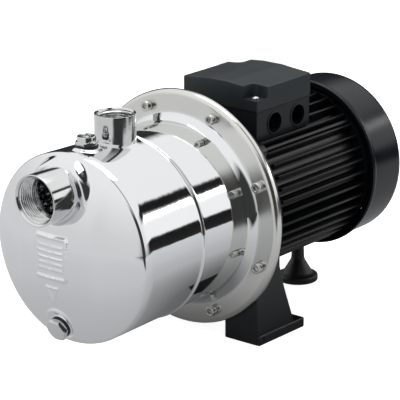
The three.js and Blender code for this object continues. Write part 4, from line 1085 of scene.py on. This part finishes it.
def lid_screw(x, y):
    """A round head with a slot across its dome."""
    rows = [(73.4, 0.0), (73.4, 2.0), (LEDGE + 0.3, 2.0), (LEDGE + 0.3, 3.6), (LEDGE + 1.3, 3.6)]
    rows += [(LEDGE + 1.3 + 1.5 * math.sin(t), 3.6 * math.cos(t)) for t in np.linspace(0.2, math.pi / 2, 7)]
    points = tilted(rows_of(rows, 48), 90) + np.array([x, y, 0])
    slot = (np.abs(points[..., 1] - y) < 0.45) & (points[..., 2] > LEDGE + 1.8)
    points[..., 2] -= 0.9 * slot
    return grid(points)


for number, (x, y) in enumerate(SCREW_SPOTS):
    name = f"lid_screw_{number + 1}"
    piece(f"lid_screw_head_{number + 1}", lid_screw(x, y), ZINC, "housing", [name])

# %% [markdown]
# ## The rear foot
#
# A rubber disc with a waisted stem, on a stud under the motor: one profile, turned about an upright axis.

# %% Rear foot
FOOT_AT, PAD_BOTTOM = 174.0, -79.0
foot_line = rounded(
    [
        (0, FLOOR, 0),
        (20, FLOOR, 1.5),
        (20, FLOOR + 6.2, 2.0),
        (15, FLOOR + 7.6, 3.0),
        (9.5, FLOOR + 17, 6.0),
        (6.5, FLOOR + 22, 3.0),
        (6.0, PAD_BOTTOM - 0.3, 0.4),
        (4.3, PAD_BOTTOM - 0.3, 0.1),
        (4.3, FLOOR + 6, 0.1),
        (0, FLOOR + 6, 0),
    ],
    8,
)
foot_shape = grid(tilted(turned(foot_line, 96), 90) + np.array([0, FOOT_AT, 0]))
piece("rubber_foot", foot_shape, RUBBER, "housing", ["rear_foot"], crease=50)

# %% [markdown]
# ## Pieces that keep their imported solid
#
# The working parts are inside. Their solids are right as they are, and each gets a finish of its own.

# %% Finishes for the inner pieces
LAMINATED = turned_steel("stacked laminations", (0.30, 0.30, 0.31), 0.42)
COPPER = turned_steel("varnished copper", (0.55, 0.22, 0.08), 0.30)
CERAMIC = coated("lapped ceramic", (0.80, 0.76, 0.66), (0.74, 0.70, 0.60), 0.2, 0.05, 900, 0.0001)
CARBON = coated("lapped carbon", (0.02, 0.02, 0.02), (0.03, 0.03, 0.03), 0.3, 0.1, 900, 0.0001)
inner_finish = {
    "polished_stainless": SOCKET,
    "zinc_steel": ZINC,
    "black_rubber": RUBBER,
    "black_painted_casting": CASTING,
    "technopolymer": MOULDED,
    "black_plastic": COVER,
    "charcoal_plastic": CHARCOAL,
    "laminated_steel": LAMINATED,
    "copper_winding": COPPER,
    "bright_steel": BRIGHT,
    "carbon_seal": CARBON,
    "ceramic_seal": CERAMIC,
    "white_plastic": WHITE,
}
slot_of = {entry["node"]: entry["material_slot"] for entry in frame["record"]["subparts"]}
for name, node in frame["nodes"].items():
    node.data.materials.clear()
    node.data.materials.append(inner_finish[slot_of[name]])
print(len(frame["nodes"]), "packed nodes have a finish")

# %% [markdown]
# ## The studio
#
# Polished steel shows its surroundings, so the surroundings are most of its look: a white tent above, a
# bright strip low on the right, and dark gaps between them. They are drawn into the world by direction, and
# the camera itself sees plain white. The floor is pale.

# %% World
WORLD = bpy.data.worlds.new("studio")
bpy.context.scene.world = WORLD
WORLD.use_nodes = True
WORLD.node_tree.nodes.clear()
studio = Shading(WORLD.node_tree)
x, y, z = studio.split(studio.node("ShaderNodeTexCoord", {}, {}, "Generated"))
height = studio.between(z, -1.0, 1.0)


def strips(*stops):
    """Brightness by the height of the direction, where -1 is straight down and 1 is straight up."""
    return studio.ramp(height, *(((at + 1) / 2, level) for at, level in stops))


RIGHT = strips(
    (-1.0, 0.10), (-0.15, 0.02), (0.045, 0.01), (0.065, 1.0),
    (0.345, 1.0), (0.39, 0.01), (0.475, 0.01), (0.50, 0.95),
)
LEFT = strips((-1.0, 0.10), (-0.1, 0.03), (0.42, 0.03), (0.52, 0.95))
AHEAD = strips((-1.0, 0.45), (-0.3, 0.66), (0.0, 0.72), (0.45, 0.92), (0.8, 0.95))
CORNER = strips((-1.0, 0.04), (0.5, 0.04), (0.72, 0.9))
ARCH = strips((-1.0, 0.03), (1.0, 0.03))
SOFT = strips((-1.0, 0.10), (-0.1, 0.5), (0.05, 0.85), (0.5, 0.95))

arch = studio.between(y, -0.12, -0.05) * studio.between(x, -0.30, -0.12)
ahead = studio.blend(arch, studio.blend(studio.between(x, 0.42, 0.56), AHEAD, CORNER), ARCH)
right_side = studio.blend(studio.between(y, 0.40, 0.58), SOFT, RIGHT)
behind = studio.blend(studio.between(x, -0.12, 0.05), LEFT, right_side)
tent = studio.blend(studio.between(y, 0.16, 0.30), ahead, behind)
around = studio.node("ShaderNodeBackground", {}, {"Color": tent, "Strength": 1.06})
plain = studio.node("ShaderNodeBackground", {}, {"Color": (1, 1, 1, 1), "Strength": 1.05})
seen = studio.node("ShaderNodeLightPath", {}, {}, "Is Camera Ray")
both = studio.node("ShaderNodeMixShader", {}, {0: seen, 1: around, 2: plain})
studio.node("ShaderNodeOutputWorld", {}, {"Surface": both})
print("the studio has", len(WORLD.node_tree.nodes), "nodes")

# %% [markdown]
# ## The table
#
# The camera sees a pale table. The steel sees a glow painted on the table instead, with a painted shadow:
# dark under and near the pump, brighter further out, with one dark card ahead on the right. A mirror has
# no colour of its own, so dark cards laid beside it are what give it dark edges.

# %% Floor
def disc(radius, rings=8, columns=96):
    """A flat round table top, just under the pump's feet."""
    r = np.linspace(0, radius, rings)
    flat = turned(np.stack([r, 0 * r], axis=1), columns)
    level = np.full(flat.shape[:2], FLOOR - 0.1)
    return grid(np.stack([flat[..., 0], flat[..., 2], level], axis=-1))


table = Finish("pale table")
moved = {"Vector": table.place, "Location": (-0.02, -0.06, 0), "Scale": (1.35, 1.0, 1)}
oval = table.node("ShaderNodeMapping", {}, moved)
distance = table.node("ShaderNodeVectorMath", {"operation": "LENGTH"}, {0: oval}, "Value")
# painted shadow: the table's glow is dark under and near the pump and brightens further out
painted_shadow_pool = table.ramp(distance, (0.0, 0.08), (0.12, 0.16), (0.24, 0.50), (0.45, 0.64), (1.0, 0.74))
x, y, _ = table.split(table.place)
card = {0: table.between(x, 0.36, 0.46, 1.0, 0.05), 1: table.between(y, -0.30, -0.12)}
beside = table.node("ShaderNodeMath", {"operation": "MAXIMUM"}, card)
# painted light: an emission that stands in for the lit table, seen only by rays that are not the camera's,
# with the painted shadow in its strength
painted_table_glow = table.node("ShaderNodeEmission", {}, {"Color": (0.985, 1.0, 1.015, 1), "Strength": painted_shadow_pool * beside})
table.set(Base_Color=(0.9, 0.9, 0.9, 1), Roughness=0.9, Specular_IOR_Level=0.0)
table.set(Emission_Color=(1, 1, 1, 1), Emission_Strength=0.85)
seen = table.node("ShaderNodeLightPath", {}, {}, "Is Camera Ray")
both = table.node("ShaderNodeMixShader", {}, {0: seen, 1: painted_table_glow, 2: Value(table, table.shader.outputs[0])})
table.tree.links.new(both.socket, table.tree.nodes["Material Output"].inputs["Surface"])

floor = bpy.data.objects.new("floor", mesh_of("floor", disc(1000), 30))
bpy.context.scene.collection.objects.link(floor)
floor.data.materials.append(table.material)
print("floor:", len(floor.data.polygons), "faces")

# %% [markdown]
# ## The camera and two lamps
#
# A long lens from a long way off keeps the pump's circles nearly true. A soft lamp overhead draws the edges
# of the black parts, and a narrow strip behind gives the fan cover its line.

# %% Light and camera
AZIMUTH, ELEVATION, ROLL = math.radians(39.5), math.radians(17.6), math.radians(-0.3)
DISTANCE, LENS = 2.2029, 213.5  # metres, and millimetres on a 36 mm sensor
AIM_RIGHT, AIM_UP = 0.0137, 0.0058  # how far the aim is moved off the flange's middle, in metres
STRIP_AIM = Vector((0.06, 0.18, 0.17))

level_part = math.cos(ELEVATION)
back = Vector((math.sin(AZIMUTH) * level_part, -math.cos(AZIMUTH) * level_part, math.sin(ELEVATION)))
right = Vector((math.cos(AZIMUTH), math.sin(AZIMUTH), 0))
up = back.cross(right)
right_rolled = right * math.cos(ROLL) + up * math.sin(ROLL)
up_rolled = up * math.cos(ROLL) - right * math.sin(ROLL)
aim = Vector((0, FLANGE_Y * MM, AXIS_HEIGHT * MM)) + right_rolled * AIM_RIGHT + up_rolled * AIM_UP
camera = bpy.data.objects.new("camera", bpy.data.cameras.new("camera"))
bpy.context.scene.collection.objects.link(camera)
camera.data.lens = LENS
camera.data.sensor_width = 36
turn = Matrix((right_rolled, up_rolled, back)).transposed().to_4x4()
camera.matrix_world = Matrix.Translation(aim + back * DISTANCE) @ turn
bpy.context.scene.camera = camera

key_light = bpy.data.lights.new("overhead", "AREA")
key_light.size = 0.7
key_light.energy = 3.5
key = bpy.data.objects.new("overhead", key_light)
key.location = (-0.1, 0.25, 1.25)
bpy.context.scene.collection.objects.link(key)
strip_light = bpy.data.lights.new("rear strip", "AREA")
strip_light.shape = "RECTANGLE"
strip_light.size, strip_light.size_y = 0.7, 0.10
strip_light.energy = 0.9
strip = bpy.data.objects.new("rear strip", strip_light)
strip.location = (0.66, 0.95, 0.58)
strip.rotation_euler = (Vector(strip.location) - STRIP_AIM).to_track_quat("Z", "Y").to_euler()
bpy.context.scene.collection.objects.link(strip)
bpy.context.scene.view_settings.view_transform = "Standard"
print("camera and light ready")
